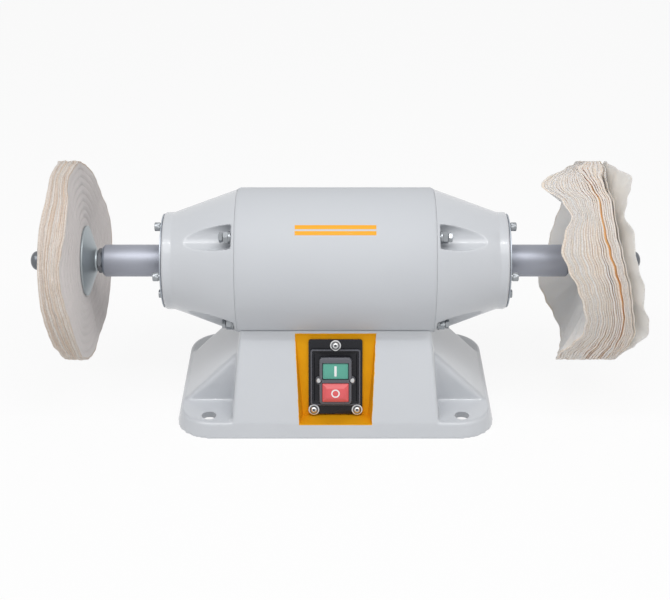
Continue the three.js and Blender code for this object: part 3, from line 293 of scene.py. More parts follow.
class Signal:
    # a socket that can stand in a sum
    def __init__(self, look, socket):
        self.look = look
        self.socket = socket

    __add__ = __radd__ = operator("ADD")
    __sub__, __rsub__ = operator("SUBTRACT"), operator("SUBTRACT", True)
    __mul__ = operator("MULTIPLY")
    __gt__, __lt__ = operator("GREATER_THAN"), operator("LESS_THAN")


class Look:
    # one material, built node by node
    def __init__(self, name):
        self.material = bpy.data.materials.new(name)
        self.material.use_nodes = True
        self.tree = self.material.node_tree
        self.shader = self.tree.nodes["Principled BSDF"]

    def feed(self, socket, value):
        if isinstance(value, Signal):
            self.tree.links.new(value.socket, socket)
        else:
            socket.default_value = value

    def node(self, kind, settings=None, values=None, out=0):
        made = self.tree.nodes.new(kind)
        for name, setting in (settings or {}).items():
            setattr(made, name, setting)
        for name, value in (values or {}).items():
            self.feed(made.inputs[name], value)
        return Signal(self, made.outputs[out])

    def maths(self, operation, *values):
        return self.node("ShaderNodeMath", {"operation": operation}, dict(enumerate(values)))

    def set(self, **sockets):
        for name, value in sockets.items():
            self.feed(self.shader.inputs[name.replace("_", " ")], value)

    def place(self):
        return self.node("ShaderNodeTexCoord", out="Object")

    def parts(self, vector):
        split = self.node("ShaderNodeSeparateXYZ", {}, {0: vector})
        return [Signal(self, split.socket.node.outputs[i]) for i in range(3)]

    def grain(self, vector, scale, detail=3, rough=0.5):
        return self.node("ShaderNodeTexNoise", {}, {
            "Vector": vector, "Scale": scale, "Detail": detail, "Roughness": rough})

    def stretched(self, vector, x, y, z):
        return self.node("ShaderNodeMapping", {}, {"Vector": vector, "Scale": (x, y, z)})

    def mix(self, share, first, second, blend="MIX"):
        kind = {"data_type": "RGBA", "blend_type": blend}
        return self.node("ShaderNodeMix", kind, {0: share, 6: first, 7: second}, out=2)

    def ramp(self, value, *stops):
        made = self.node("ShaderNodeValToRGB", {}, {0: value})
        elements = made.socket.node.color_ramp.elements
        while len(elements) < len(stops):
            elements.new(0.5)
        for element, (place, colour) in zip(elements, stops):
            element.position = place
            element.color = colour
        return made

    def bump(self, height, distance, strength=1.0, over=None):
        values = {"Height": height, "Distance": distance, "Strength": strength}
        if over is not None:
            values["Normal"] = over
        return self.node("ShaderNodeBump", {}, values)


enamelSizes = Values(
    tone=tone(205, 208, 212), shade=tone(196, 199, 204), roughness=0.3, barrelRoughness=0.62, peelScale=380,
    peelHeight=0.00003, castScale=70, castHeight=0.00012, coat=0.5, barrelCoat=0.02)


def enamelLook(name, roughness=enamelSizes.roughness, coat=enamelSizes.coat):
    # grey enamel with a fine orange peel over a slightly uneven casting
    s = enamelSizes
    look = Look(name)
    at = look.place()
    drift = look.grain(at, 9, 2)
    peel = look.grain(at, s.peelScale, 2)
    uneven = look.grain(at, s.castScale, 2)
    look.base = look.mix(drift, s.shade, s.tone)
    look.set(
        Base_Color=look.base, Roughness=roughness + drift * 0.06, Coat_Weight=coat, Coat_Roughness=0.05,
        Normal=look.bump(peel, s.peelHeight, 1.0, look.bump(uneven, s.castHeight)))
    return look


stripeSizes = Values(
    halfWidth=0.039, low=math.radians(44.7), lowEnd=math.radians(48.1), high=math.radians(49.6),
    highEnd=math.radians(53.1), tone=tone(242, 170, 28))


def barrelLook():
    # a duller enamel with two plain orange stripes across the front
    s = stripeSizes
    look = enamelLook("barrel_enamel", enamelSizes.barrelRoughness, enamelSizes.barrelCoat)
    x, y, z = look.parts(look.place())
    angle = look.maths("ARCTAN2", z - axisHeight, 0 - y)
    low = (angle > s.low) * (angle < s.lowEnd)
    high = (angle > s.high) * (angle < s.highEnd)
    mask = (low + high) * (look.maths("ABSOLUTE", x) < s.halfWidth)
    look.set(Base_Color=look.mix(mask, look.base, s.tone))
    return look.material


recessPaint = Values(
    tone=tone(232, 172, 0), shade=tone(217, 154, 0), halfWidth=0.0354, spread=0.0556, foot=0.016, low=0.014,
    high=0.094, over=0.0005, sheen=0.6, roughness=0.75, floorTop=-0.0523, floorHeight=0.0925,
    floorLean=math.tan(math.radians(17)))


def baseLook():
    # the enamel, with hand-laid orange over the switch recess and just past its edge
    look = enamelLook("base_enamel")
    at = look.place()
    p, e = recessPaint, enamelSizes
    x, y, z = look.parts(at)
    ragged = (look.grain(at, 130, 3) - 0.5) * 0.0016
    width = look.maths("ABSOLUTE", x)
    side = (width - (z - p.foot) * p.spread) < ragged + (p.halfWidth + p.over)
    floor = y < (z - p.floorHeight) * p.floorLean + (p.floorTop + 0.002)
    mask = side * floor * (z > p.low) * (z < ragged * 0.4 + p.high)
    worn = look.mix(look.grain(at, 60, 4), p.shade, p.tone)
    look.set(
        Base_Color=look.mix(mask, look.base, worn), Coat_Weight=(1 - mask) * e.coat,
        Metallic=mask * p.sheen, Roughness=mask * (p.roughness - e.roughness) + e.roughness)
    return look.material


def steelLook(name, colour, roughness, rings=0.0, metallic=0.9, scuffs=0.0):
    # turned or plated metal; rings are the fine marks left by the lathe
    look = Look(name)
    at = look.place()
    patches = look.grain(at, 45, 4)
    marks = look.grain(look.stretched(at, 1, 0.02, 0.02), rings, 2) if rings else look.grain(at, 900, 2)
    base = look.mix(patches, dimmed(colour, 0.86), colour)
    if scuffs:
        fleck = look.grain(look.stretched(at, 1, 0.5, 1), 110, 5, 0.7)
        spots = look.ramp(fleck, (0.66, (0, 0, 0, 1)), (0.74, (1, 1, 1, 1)))
        base = look.mix(spots * scuffs, base, tone(96, 94, 92))
    look.set(
        Base_Color=base, Metallic=metallic, Roughness=roughness + patches * 0.12 + marks * 0.08,
        Normal=look.bump(marks, 0.00002, 0.6))
    return look.material


def plasticLook(name, colour, roughness=0.4, grainHeight=0.00003, shine=0.5, paintedEdgeGlint=None):
    # this argument names a slanted height above which the edges are painted lighter: a painted highlight
    # standing in for the glint on rounded glossy edges
    look = Look(name)
    at = look.place()
    patches = look.grain(at, 60, 3)
    fine = look.grain(at, 1500, 2)
    base = look.mix(patches, dimmed(colour, 0.88), colour)
    if paintedEdgeGlint:
        x, y, z = look.parts(at)
        above = (z * paintedEdgeGlint.up - y * paintedEdgeGlint.out) > paintedEdgeGlint.height
        base = look.mix(above, base, paintedEdgeGlint.tone)
    look.set(Base_Color=base, Roughness=roughness + patches * 0.1, Specular_IOR_Level=shine,
             Normal=look.bump(fine, grainHeight, 0.7))
    return look.material


def copperLook():
    # varnished turns of wire, laid round the ring
    look = Look("wound_copper")
    turns = look.node("ShaderNodeTexWave", {"wave_type": "BANDS", "bands_direction": "X"}, {
        "Vector": look.place(), "Scale": 320, "Distortion": 2.0})
    look.set(
        Base_Color=look.mix(turns, tone(120, 62, 30), tone(196, 112, 62)), Metallic=0.8,
        Roughness=0.35, Normal=look.bump(turns, 0.0003))
    return look.material


greyEnamel = enamelLook("grey_enamel").material
barrelEnamel = barrelLook()
baseEnamel = baseLook()
sleeveSteel = steelLook("turned_sleeve_steel", tone(165, 168, 178), 0.4, 2600, 0.8, 0.8)
flangeSteel = steelLook("blued_flange_steel", tone(172, 180, 184), 0.34, 1800, 0.75)
zincPlate = steelLook("bright_zinc", tone(160, 164, 168), 0.22)
washerZinc = steelLook("washer_zinc", tone(216, 217, 218), 0.24)
thinNutZinc = steelLook("thin_nut_zinc", tone(112, 115, 120), 0.24)
dullZinc = steelLook("dull_zinc_sheet", tone(170, 174, 178), 0.4)
coverAluminium = steelLook("cover_aluminium", tone(172, 178, 186), 0.38, 900)
darkSteel = steelLook("dark_steel", tone(96, 98, 102), 0.4)
shaftSteel = steelLook("ground_shaft_steel", tone(165, 168, 172), 0.28, 2600)
copper = copperLook()
blackPlastic = plasticLook("black_plastic", tone(26, 27, 33), 0.22, shine=0.3)
greyPlastic = plasticLook("grey_plastic", tone(92, 93, 100), 0.42)
greenPlastic = plasticLook("green_plastic", tone(93, 170, 151), 0.4)
redPlastic = plasticLook("red_plastic", tone(229, 98, 102), 0.36)
whiteInlay = plasticLook("white_inlay", tone(244, 244, 244), 0.4)
blackRubber = plasticLook("black_rubber", tone(30, 30, 31), 0.6, 0.00006)
print("looks made")


# Base casting

baseSizes = Values(
    halfLength=0.1585, halfDepth=0.098, corner=0.036, flange=0.016, draft=0.0035, plate=0.0063, wall=0.006,
    footHalfLength=0.1022, footHalfDepth=0.0944, topHalfLength=0.0954, topHalfDepth=0.0537, slopeTop=0.09,
    lip=0.007, lipDraft=0.0007, edge=0.004, wedgeHalfDepth=0.0507, wedgeFoot=0.1525, wedgeTop=0.0994,
    wedgeHeight=0.068, wedgeEdge=0.006, saddle=0.0733, holeRadius=0.0072, holeX=0.1254, holeY=0.080,
    voxel=0.0016, smoothing=3)
recessSizes = Values(
    tilt=math.radians(17), top=0.0925, foot=0.015, topHalfWidth=0.0394, footHalfWidth=0.0322,
    wallLean=0.176, topInset=0.0014, back=0.004, plateHalfHeight=0.0378, drop=0.003, windowHalfWidth=0.0151,
    windowHalfHeight=0.0221, windowTop=0.01, windowDepth=0.04)
plateLow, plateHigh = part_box("switch_plate")
tilt, plateHalf = recessSizes.tilt, recessSizes.plateHalfHeight
switchPlace = shift(0, plateHigh.y - math.sin(tilt) * plateHalf,
                    plateLow.z + math.cos(tilt) * plateHalf) @ turnX(quarter - tilt)


def pedestalForm(name, inset, bottom):
    s = baseSizes
    size = (s.footHalfLength - inset, s.footHalfDepth - inset)
    piece = block(name, (2 * size[0], 2 * size[1], s.flange - bottom), (0, 0, (s.flange + bottom) / 2))
    edit(piece)
    pickFaces(piece, lambda normal: normal.z > 0.9)
    for top, rise in (((s.topHalfLength - inset, s.topHalfDepth - inset), s.slopeTop - s.flange),
                      ((s.topHalfLength - inset - s.lipDraft, s.topHalfDepth - inset - s.lipDraft), s.lip)):
        raiseFaces(rise)
        scaleTo(top[0] / size[0], top[1] / size[1])
        size = top
    return bevelEdges(piece, s.edge, 4, lambda middle, along: abs(along.z) > 0.5)


def wedgeForm(name, inset, bottom):
    # one side wedge, sloping down from the pedestal to the flange
    s = baseSizes
    slope = (s.wedgeHeight - s.flange) / (s.wedgeFoot - s.wedgeTop)
    dip = inset * math.hypot(1, slope)
    inner = s.topHalfLength - s.wall - s.wedgeEdge
    outer = min(s.wedgeFoot + (s.flange - dip - bottom) / slope, s.halfLength - s.draft - s.wall - 0.0005)
    if inset == 0:
        outer = s.wedgeFoot + 0.002 / slope
    half = s.wedgeHalfDepth - inset
    piece = block(name, (outer - inner, 2 * half, 0.02), ((outer + inner) / 2, 0, bottom + 0.01))
    for vertex in piece.data.vertices:
        if vertex.co.z > bottom + 0.01:
            vertex.co.z = s.flange + (s.wedgeFoot - vertex.co.x) * slope - dip
    if inset == 0:
        edit(piece)
        bevelEdges(piece, s.wedgeEdge, 5, lambda middle, along: abs(along.x) > 0.3 and abs(along.z) > 0.3)
    return piece


def recessForm(name, grow):
    # the space of the switch recess, its floor leaning back by the tilt
    s, r = baseSizes, recessSizes
    piece = block(name, (1, 1, 1))
    for vertex in piece.data.vertices:
        isTop, isFront, side = vertex.co.z > 0, vertex.co.y < 0, math.copysign(1, vertex.co.x)
        height = r.top + grow if isTop else r.foot - grow
        half = (r.topHalfWidth if isTop else r.footHalfWidth) + grow
        floorY = s.topHalfDepth - r.topInset + (r.top - height) * math.tan(r.tilt) - grow
        reach = s.footHalfDepth if isFront else 0
        vertex.co = (side * (half + reach * r.wallLean), -floorY - reach, height)
    return piece


def baseCasting():
    s = baseSizes
    casting = roundedBlock("base", s.halfLength, s.halfDepth, s.corner, s.flange, 14)
    edit(casting)
    pickFaces(casting, lambda normal: normal.z > 0.9)
    scaleTo(1 - s.draft / s.halfLength, 1 - s.draft / s.halfDepth)
    bevelEdges(casting, 0.002, 3, lambda middle, along: middle.z > s.flange - 0.0001)
    fuse(casting, pedestalForm("pedestal", 0, 0.01))
    for end in ends:
        fuse(casting, settle(wedgeForm("wedge", 0, 0.01), end))
    apply(casting, "REMESH", mode="VOXEL", voxel_size=s.voxel)
    apply(casting, "SMOOTH", factor=0.5, iterations=s.smoothing)
    return cut(casting, settle(rod("saddle", -0.12, 0.12, s.saddle, 160), onAxis), recessForm("recess", 0))


def hollowForm():
    # all that is cut away under the casting
    s = baseSizes
    inset, panDepth = s.draft + s.wall, 0.005
    pan = roundedBlock("pan", s.halfLength - inset, s.halfDepth - inset, s.corner - inset,
                       panDepth + s.flange - s.plate, 10)
    settle(pan, shift(0, 0, -panDepth))
    hollow = pedestalForm("hollow", s.wall, -0.004)
    under = settle(rod("under", -0.15, 0.15, s.saddle + s.wall, 64), onAxis)
    cut(hollow, under, recessForm("backing", recessSizes.back))
    fuse(hollow, pan)
    for end in ends:
        fuse(hollow, settle(wedgeForm("under_wedge", s.wall, -0.003), end))
    return hollow


def boredBase():
    s, r = baseSizes, recessSizes
    casting = cut(baseCasting(), hollowForm())
    # the opening that the switch and its buttons reach through
    window = block("window", (2 * r.windowHalfWidth, 2 * r.windowHalfHeight, r.windowDepth),
                   (0, -r.drop, r.windowTop - r.windowDepth / 2))
    cut(casting, settle(window, switchPlace))
    drills = [settle(rod("bore", -0.03, 0.03, s.holeRadius), shift(x, y, 0.01) @ upright)
              for x in (-s.holeX, s.holeX) for y in (-s.holeY, s.holeY)]
    return cut(casting, joinPieces("bores", *drills))


finish(boredBase(), baseEnamel, "machine", ["base_casting"]).name = "cast_base"
print("base made")


# Motor housing and end shields

barrelLow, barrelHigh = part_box("motor_housing")
barrelSizes = Values(
    radius=barrelHigh.y, half=barrelHigh.x, wall=0.005, edge=0.0014, edgeLength=0.003)


def barrel():
    s = barrelSizes
    inner, rounded = s.radius - s.wall, s.radius - s.edge
    piece = turnedPiece("motor_barrel", [
        (-s.half, inner), (-s.half, rounded), (-s.half + s.edgeLength, s.radius),
        (s.half - s.edgeLength, s.radius), (s.half, rounded), (s.half, inner), (-s.half, inner)], 192)
    soften(piece, 0.0006, 3, 30)
    return settle(piece, onAxis)


finish(barrel(), barrelEnamel, "machine", ["motor_housing"])

shieldLow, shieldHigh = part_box("end_shield_right")
shieldSizes = Values(
    start=barrelHigh.x + 0.00008, spare=0.004, end=shieldHigh.x, mouth=shieldHigh.y, nose=0.0485,
    cone=0.063, wall=0.005, endWall=0.009, noseEdge=0.0022, circle=0.066, pocket=0.0126, pocketWall=0.0034,
    pocketFloor=0.003, bore=0.0238, rodHole=0.0036, voxel=0.001, smoothing=2)


def shieldOutline():
    s = shieldSizes
    slope = (s.mouth - s.nose) / s.cone
    sections = [(s.start - s.spare, s.mouth + slope * s.spare), (s.start + s.cone, s.nose)]
    for step in range(6):
        angle = step / 5 * quarter
        sections.append((s.end - s.noseEdge * (1 - math.sin(angle)),
                         s.nose - s.noseEdge * (1 - math.cos(angle))))
    return sections


def fourRound(piece, radius, offset=0.0):
    # four copies of a cutter round the X axis, the first one at the offset angle
    copies = [copyOf(piece, "cutter", turnX(k * quarter + offset) @ shift(0, 0, radius)) for k in range(4)]
    bpy.data.objects.remove(piece)
    return joinPieces("cutters", *copies)


def endShield():
    s = shieldSizes
    eighth = quarter / 2
    floor = s.end - s.endWall
    inside = turnedPiece("inside", [
        (s.start - past, s.mouth - s.wall), (s.start, s.mouth - s.wall), (floor, s.nose - s.wall)])
    jacket = rod("jacket", s.start - 2 * past, floor + 0.001, s.pocket + s.pocketWall)
    cut(inside, fourRound(jacket, s.circle, eighth))
    pocket = rod("pocket", s.start + s.pocketFloor, s.end + past, s.pocket, 64)
    shield = cut(turnedPiece("shield", shieldOutline(), 192), inside, fourRound(pocket, s.circle, eighth))
    apply(shield, "REMESH", mode="VOXEL", voxel_size=s.voxel)
    apply(shield, "SMOOTH", factor=0.5, iterations=s.smoothing)
    # the mouth, the bearing's bore and the rods' holes are cut last, so they stay crisp
    cut(shield, rod("mouth_cut", s.start - 2 * past, s.start, s.mouth + past, 96))
    bore = rod("bore", s.start + 2 * past, s.end + past, s.bore, 96)
    holes = fourRound(rod("rod_hole", s.start - past, s.start + past, s.rodHole, 24), s.circle, eighth)
    cut(shield, joinPieces("bores", bore, holes))
    return settle(shield, onAxis)


finishPair(endShield(), "cast_shield", greyEnamel, "end_shield", 40)
print("barrel and shields made")


# Covers, cover screws and tie rods

coverLow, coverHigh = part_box("end_cover_right")
coverSizes = Values(
    start=coverLow.x, face=coverHigh.x, radius=coverHigh.y, bore=0.0163, screwCircle=0.037,
    screwHole=0.0031)


def endCover():
    s = coverSizes
    plate = ring("cover", s.start, s.face, s.bore, s.radius, 160)
    cut(plate, fourRound(rod("hole", s.start - past, s.face + past, s.screwHole, 24), s.screwCircle))
    soften(plate, 0.0004)
    return settle(plate, onAxis)


finishPair(endCover(), "cover_plate", coverAluminium, "end_cover", 35)

capScrewSizes = Values(
    shank=0.0025, length=0.011, washer=0.0038, washerHeight=0.002, head=0.0043, headHeight=0.0054,
    flats=0.004, socket=0.0026, knurls=28, knurlShare=0.955)


def capScrew():
    # a socket-head screw, its seat at x = 0, its head towards +X
    s = capScrewSizes
    foot = s.washerHeight
    top = foot + s.headHeight
    shank = turnedPiece("shank", [
        (-s.length, s.shank * 0.7), (-s.length + 0.001, s.shank), (foot, s.shank)], 24)
    washer = soften(ring("spring_washer", 0, foot - 0.0002, s.shank, s.washer, 32))
    head = turnedPiece("head", [
        (foot, s.head), (top - 0.0007, s.head), (top - 0.0002, s.head * 0.95),
        (top, s.head * 0.88)], 2 * s.knurls)
    for vertex in head.data.vertices:
        place = round(math.atan2(vertex.co.y, vertex.co.z) / math.pi * s.knurls)
        if place % 2 and vertex.co.x < top - 0.0005:
            vertex.co.y *= s.knurlShare
            vertex.co.z *= s.knurlShare
    cut(head, barPiece("socket", top - s.socket, top + 0.003, s.flats))
    return joinPieces("cap_screw", shank, washer, head)


def coverScrews():
    pattern = capScrew()
    places = {"right": ["top", "front", "bottom", "rear"], "left": ["top", "rear", "bottom", "front"]}
    for (side, names), end in zip(places.items(), ends):
        for k, place in enumerate(names):
            c = coverSizes.screwCircle
            spot = shift(coverSizes.face + 0.0003, -c * math.sin(k * quarter), c * math.cos(k * quarter))
            spot = end @ onAxis @ spot @ turnX(0.7 * k + 0.3)
            screw = copyOf(pattern, f"socket_screw_{side}_{place}", spot)
            finish(screw, zincPlate, "machine", [f"cover_screw_{side}_{place}"])
    bpy.data.objects.remove(pattern)


coverScrews()

tieSizes = Values(
    seat=0.1006, washer=0.006, washerHeight=0.0018, flats=0.010, nutHeight=0.0052, radius=0.003, tip=0.112,
    pitch=0.0008, circle=0.066, endFlats=0.0084, endGap=0.0004)


def tieRod():
    # a through bolt with a washer, a nut and a threaded end at both ends
    s = tieSizes
    nutStart = s.seat + s.washerHeight
    nutEnd = nutStart + s.nutHeight
    threads = []
    place = nutEnd - s.pitch
    while place < s.tip - s.pitch * 1.5:
        threads += [(place, s.radius), (place + s.pitch / 2, s.radius * 0.86)]
        place += s.pitch
    threads += [(s.tip - s.pitch, s.radius * 0.95), (s.tip, s.radius * 0.62)]
    mirrored = [(-along, radius) for along, radius in reversed(threads)]
    parts = [turnedPiece("stem", mirrored + threads, 24)]
    for end in ends:
        washer = soften(ring("washer", s.seat, nutStart - 0.0001, s.radius, s.washer, 40))
        nut = barPiece("nut", nutStart, nutEnd, s.flats)
        threaded = barPiece("end", nutEnd + s.endGap, s.tip - s.endGap, s.endFlats)
        parts += [settle(washer, end), settle(nut, end @ turnX(0.9)), settle(threaded, end @ turnX(0.3))]
    return joinPieces("tie_rod", *parts)


def tieRods():
    pattern = tieRod()
    for k, place in enumerate(["upper_rear", "lower_rear", "lower_front", "upper_front"]):
        angle = (k + 0.5) * quarter
        spot = shift(0, tieSizes.circle * math.sin(angle), tieSizes.circle * math.cos(angle))
        bolt = copyOf(pattern, f"through_bolt_{place}", onAxis @ spot @ turnX(0.5 * k))
        finish(bolt, zincPlate, "machine", [f"tie_rod_{place}"])
    bpy.data.objects.remove(pattern)


tieRods()
print("covers, screws and rods made")


# Spindle ends

spindleSizes = Values(
    sleeve=0.016, sleeveStart=0.1666, sleeveEnd=0.232, sleeveEdge=0.0026, seat=0.0103, jamStart=0.2323,
    jamEnd=0.2367, jamFlats=0.0215, bore=0.0071, innerStart=0.237, neck=0.0106, neckLength=0.0018,
    hub=0.0124, coneLength=0.0084, rim=0.035, rimThickness=0.002, outerEnd=0.284, capStart=0.2843,
    hexHeight=0.0096, capFlats=0.022, dome=0.0095, domeStart=0.2979, tip=0.3044, capDepth=0.013)


def sleeve():
    s = spindleSizes
    piece = turnedPiece("sleeve", [
        (s.sleeveStart, s.seat), (s.sleeveStart, s.sleeve), (s.sleeveEnd - s.sleeveEdge, s.sleeve),
        (s.sleeveEnd, s.sleeve - s.sleeveEdge), (s.sleeveEnd, s.seat), (s.sleeveStart, s.seat)])
    return soften(piece, angle=30)


def clampFlange():
    s = spindleSizes
    rimStart = s.neckLength + s.coneLength
    face = rimStart + s.rimThickness
    piece = turnedPiece("flange", [
        (0, s.bore), (0, s.neck), (s.neckLength, s.neck), (s.neckLength, s.hub),
        (rimStart, s.rim), (face, s.rim), (face, s.bore), (0, s.bore)], 128)
    return soften(piece, 0.0004, 3, 20)


def jamNut():
    s = spindleSizes
    nut = barPiece("jam_nut", s.jamStart, s.jamEnd, s.jamFlats)
    return cut(nut, rod("bore", s.jamStart - past, s.jamEnd + past, s.bore))


def capNut():
    s = spindleSizes
    nut = barPiece("cap_nut", s.capStart, s.capStart + s.hexHeight, s.capFlats)
    sections = [(s.capStart + 0.002, s.dome), (s.domeStart, s.dome)]
    for step in range(1, 12):
        angle = step / 12 * quarter
        sections.append((s.domeStart + (s.tip - s.domeStart) * math.sin(angle), s.dome * math.cos(angle)))
    sections.append((s.tip, s.dome * 0.02))
    fuse(nut, turnedPiece("dome", sections, 64))
    return cut(nut, rod("bore", s.capStart - past, s.capStart + s.capDepth, s.bore))


for side, end in zip(("right", "left"), ends):
    place = end @ onAxis
    flange = clampFlange()
    outer = copyOf(flange, "outer", place @ shift(spindleSizes.outerEnd, 0, 0) @ halfRound)
    settle(flange, place @ shift(spindleSizes.innerStart, 0, 0))
    for piece, name, look, slotName, node in (
            (settle(sleeve(), place), "steel_sleeve", sleeveSteel, "turned_steel", "spindle_sleeve"),
            (settle(jamNut(), place), "thin_nut", thinNutZinc, "zinc_steel", "jam_nut"),
            (flange, "dished_flange_inner", flangeSteel, "turned_steel", "inner_flange"),
            (outer, "dished_flange_outer", flangeSteel, "turned_steel", "outer_flange"),
            (settle(capNut(), place), "domed_nut", thinNutZinc, "zinc_steel", "cap_nut")):
        finish(piece, look, "rotor", [f"{node}_{side}"]).name = f"{name}_{side}"
print("spindle ends made")


# Cloth

def roundShare(shares, angle):
    # a value between the entries of a table that goes once round the circle
    place = angle / math.tau * len(shares)
    first = math.floor(place)
    part = place - first
    part = part * part * (3 - 2 * part)
    return shares[first % len(shares)] * (1 - part) + shares[(first + 1) % len(shares)] * part


def clothLook(name, faceTone, faceShade, edgeStops, warmTone, through):
    # woven cotton; "across" counts the plies, "warm" is the tint deep between them
    look = Look(name)
    weaveMap = look.node("ShaderNodeUVMap", {"uv_map": "weave"})
    across, edge, warm = (look.node("ShaderNodeAttribute", {"attribute_name": name}, out="Fac")
                          for name in ("across", "edge", "warm"))
    at = look.place()
    patches = look.grain(at, 26, 4)
    u, v, w = look.parts(weaveMap)
    warp = look.maths("SINE", u * (math.tau / 0.0011))
    weave = warp * look.maths("SINE", v * (math.tau / 0.0012)) * 0.5 + 0.5
    streak = look.node("ShaderNodeCombineXYZ", {}, {0: across, 1: patches * 0.5 + u * 3, 2: v * 3})
    layer = look.grain(streak, 1.0, 4, 0.75)
    edgeTone = look.ramp(layer, *((place, tone(*parts)) for place, *parts in edgeStops))
    face = look.mix(patches, faceShade, faceTone)
    face = look.mix(weave * 0.16, face, dimmed(faceTone, 0.72))
    face = look.mix(warm, face, warmTone)
    threads = look.grain(at, 900, 3, 0.7)
    frayed = look.ramp(threads, (0.34, tone(226, 222, 219)), (0.6, (1, 1, 1, 1)))
    edgeTone = look.mix(1.0, edgeTone, frayed, "MULTIPLY")
    look.set(
        Base_Color=look.mix(edge, face, edgeTone), Roughness=0.92 + patches * 0.05,
        Normal=look.bump(weave, 0.00012, 0.8, look.bump(threads, 0.0004, 0.9)),
        Sheen_Weight=0.2, Sheen_Roughness=0.5, Subsurface_Weight=through, Subsurface_Scale=0.003,
        Subsurface_Radius=(1.0, 0.92, 0.82))
    return look.material


def noteFlat(piece):
    # before it is bent, the cloth's flat place goes into a UV map
    mesh = piece.data
    weave = mesh.uv_layers.new(name="weave")
    for loop in mesh.loops:
        spot = mesh.vertices[loop.vertex_index].co
        weave.data[loop.index].uv = (spot.y, spot.z)
    return [mesh.attributes.new(name, "FLOAT", "POINT").data for name in ("across", "edge", "warm")]


def smoothStep(low, high, value):
    part = min(1.0, max(0.0, (value - low) / (high - low)))
    return part * part * (3 - 2 * part)


def hump(angle, middle, half):
    # 1 at the middle angle, down to 0 at half an arc away from it
    away = abs((angle - middle + math.pi) % math.tau - math.pi)
    return 1 - smoothStep(0, half, away)


def waveOf(angle, times, depth):
    # a smooth random value from -1 to 1 that closes round the circle
    return noise.noise(Vector((math.cos(angle) * times, math.sin(angle) * times, depth)))


# the sewn wheel's inner rim along the shaft and its width, in mm, at every 10 degrees from the front
# over the top
sewnSizes = Values(
    start=0.2495, width=0.022, bore=0.0071, clamp=0.036, radius=0.0995, inner=[254, 256.5, 257.6, 255.2,
    252.3, 251.5, 251.5, 254.6, 255.5, 254, 252.5, 254, 254.5, 252.3, 248.7, 246.7, 244.6, 240.4, 238.5,
    238.1, 238.1, 238.9, 240, 240.7, 241.6, 243.7, 245.4, 246.1, 247.3, 248, 249, 249, 248.8, 248.8, 249.5,
    251.2], widths=[24, 22, 21, 23, 25, 24.3, 22.6, 19, 18.5, 18.5, 20, 22, 22, 22, 22, 22, 22, 22, 22, 22,
    22, 22, 22, 22, 22, 22, 22, 22, 21, 20, 19, 19, 20.5, 24, 25, 25.3], stitches=[0.043, 0.051, 0.059,
    0.067, 0.075, 0.083, 0.091], dip=0.0012, plies=26, bands=[0.11, 0.13, 0.07, 0.14, 0.05, 0.13, 0.1, 0.06,
    0.21], groove=0.0009, steps=216, foldAngle=math.radians(256), foldBelow=math.radians(4),
    foldAbove=math.radians(15), foldDepth=0.004, seam=0.0022)


def sewnBuff():
    # a stack of cotton plies, sewn in rings, with the edges of the plies showing at the rim
    s = sewnSizes
    face = [(s.start, s.bore), (s.start, s.clamp)]
    for stitch in s.stitches:
        face += [(s.start, stitch - s.seam), (s.start + s.dip, stitch), (s.start, stitch + s.seam)]
    face += [(s.start, s.radius - 0.003), (s.start + 0.0004, s.radius - 0.0009)]
    rim = []
    edge = s.start
    for share in s.bands:
        width = share * s.width
        rim += [(edge + width * 0.15, s.radius - 0.0002), (edge + width * 0.5, s.radius),
                (edge + width * 0.85, s.radius - 0.0002), (edge + width, s.radius - s.groove)]
        edge += width
    rim.pop()
    back = [(2 * s.start + s.width - along, radius) for along, radius in reversed(face)]
    piece = turnedPiece("sewn_cotton_buff", face + rim + back + [face[0]], s.steps)
    acrossData, edgeData, warmData = noteFlat(piece)
    for index, vertex in enumerate(piece.data.vertices):
        x, y, z = vertex.co
        radius = math.hypot(y, z)
        # the machine's left end is this one turned half round, so its front is at the back here
        angle = math.pi - math.atan2(z, -y)
        reach = max(0.0, (radius - s.clamp) / (s.radius - s.clamp))
        across = (x - s.start) / s.width
        acrossData[index].value = across * s.plies
        edgeData[index].value = 1.0 if radius > s.radius - 0.0028 else 0.0
        offset = roundShare(s.inner, angle) / 1000 - s.start
        spread = roundShare(s.widths, angle) / 1000 - s.width
        away = (angle - s.foldAngle + math.pi) % math.tau - math.pi
        fold = max(0.0, 1 - (away / s.foldBelow if away > 0 else -away / s.foldAbove))
        fold *= min(1.0, reach * 2) * (1 - smoothStep(0.74, 0.98, reach)) * (1 - across)
        lean = (offset + across * spread) * reach ** 1.6 + fold * s.foldDepth
        ripple = 0.0014 * reach ** 2 * waveOf(angle, 2.2, across)
        ragged = 0.0012 * waveOf(angle, 9, across * 9)
        grow = 1 + max(0.0, reach - 0.9) * 10 * (ragged - 0.0004) / s.radius
        vertex.co = (x + lean + ripple, y * grow, z * grow)
    return piece


sewnLook = clothLook(
    "sewn_cotton", tone(233, 226, 223), tone(219, 212, 209),
    [(0.28, 226, 219, 213), (0.4, 216, 206, 199), (0.46, 212, 184, 156), (0.5, 228, 221, 214),
     (0.6, 234, 231, 227), (0.68, 210, 199, 191), (0.76, 226, 217, 210)], tone(214, 176, 140), 0)
sewn = settle(sewnBuff(), halfRound @ onAxis)
finish(sewn, sewnLook, "rotor", ["sewn_buff"], 50)
print("sewn buff made")

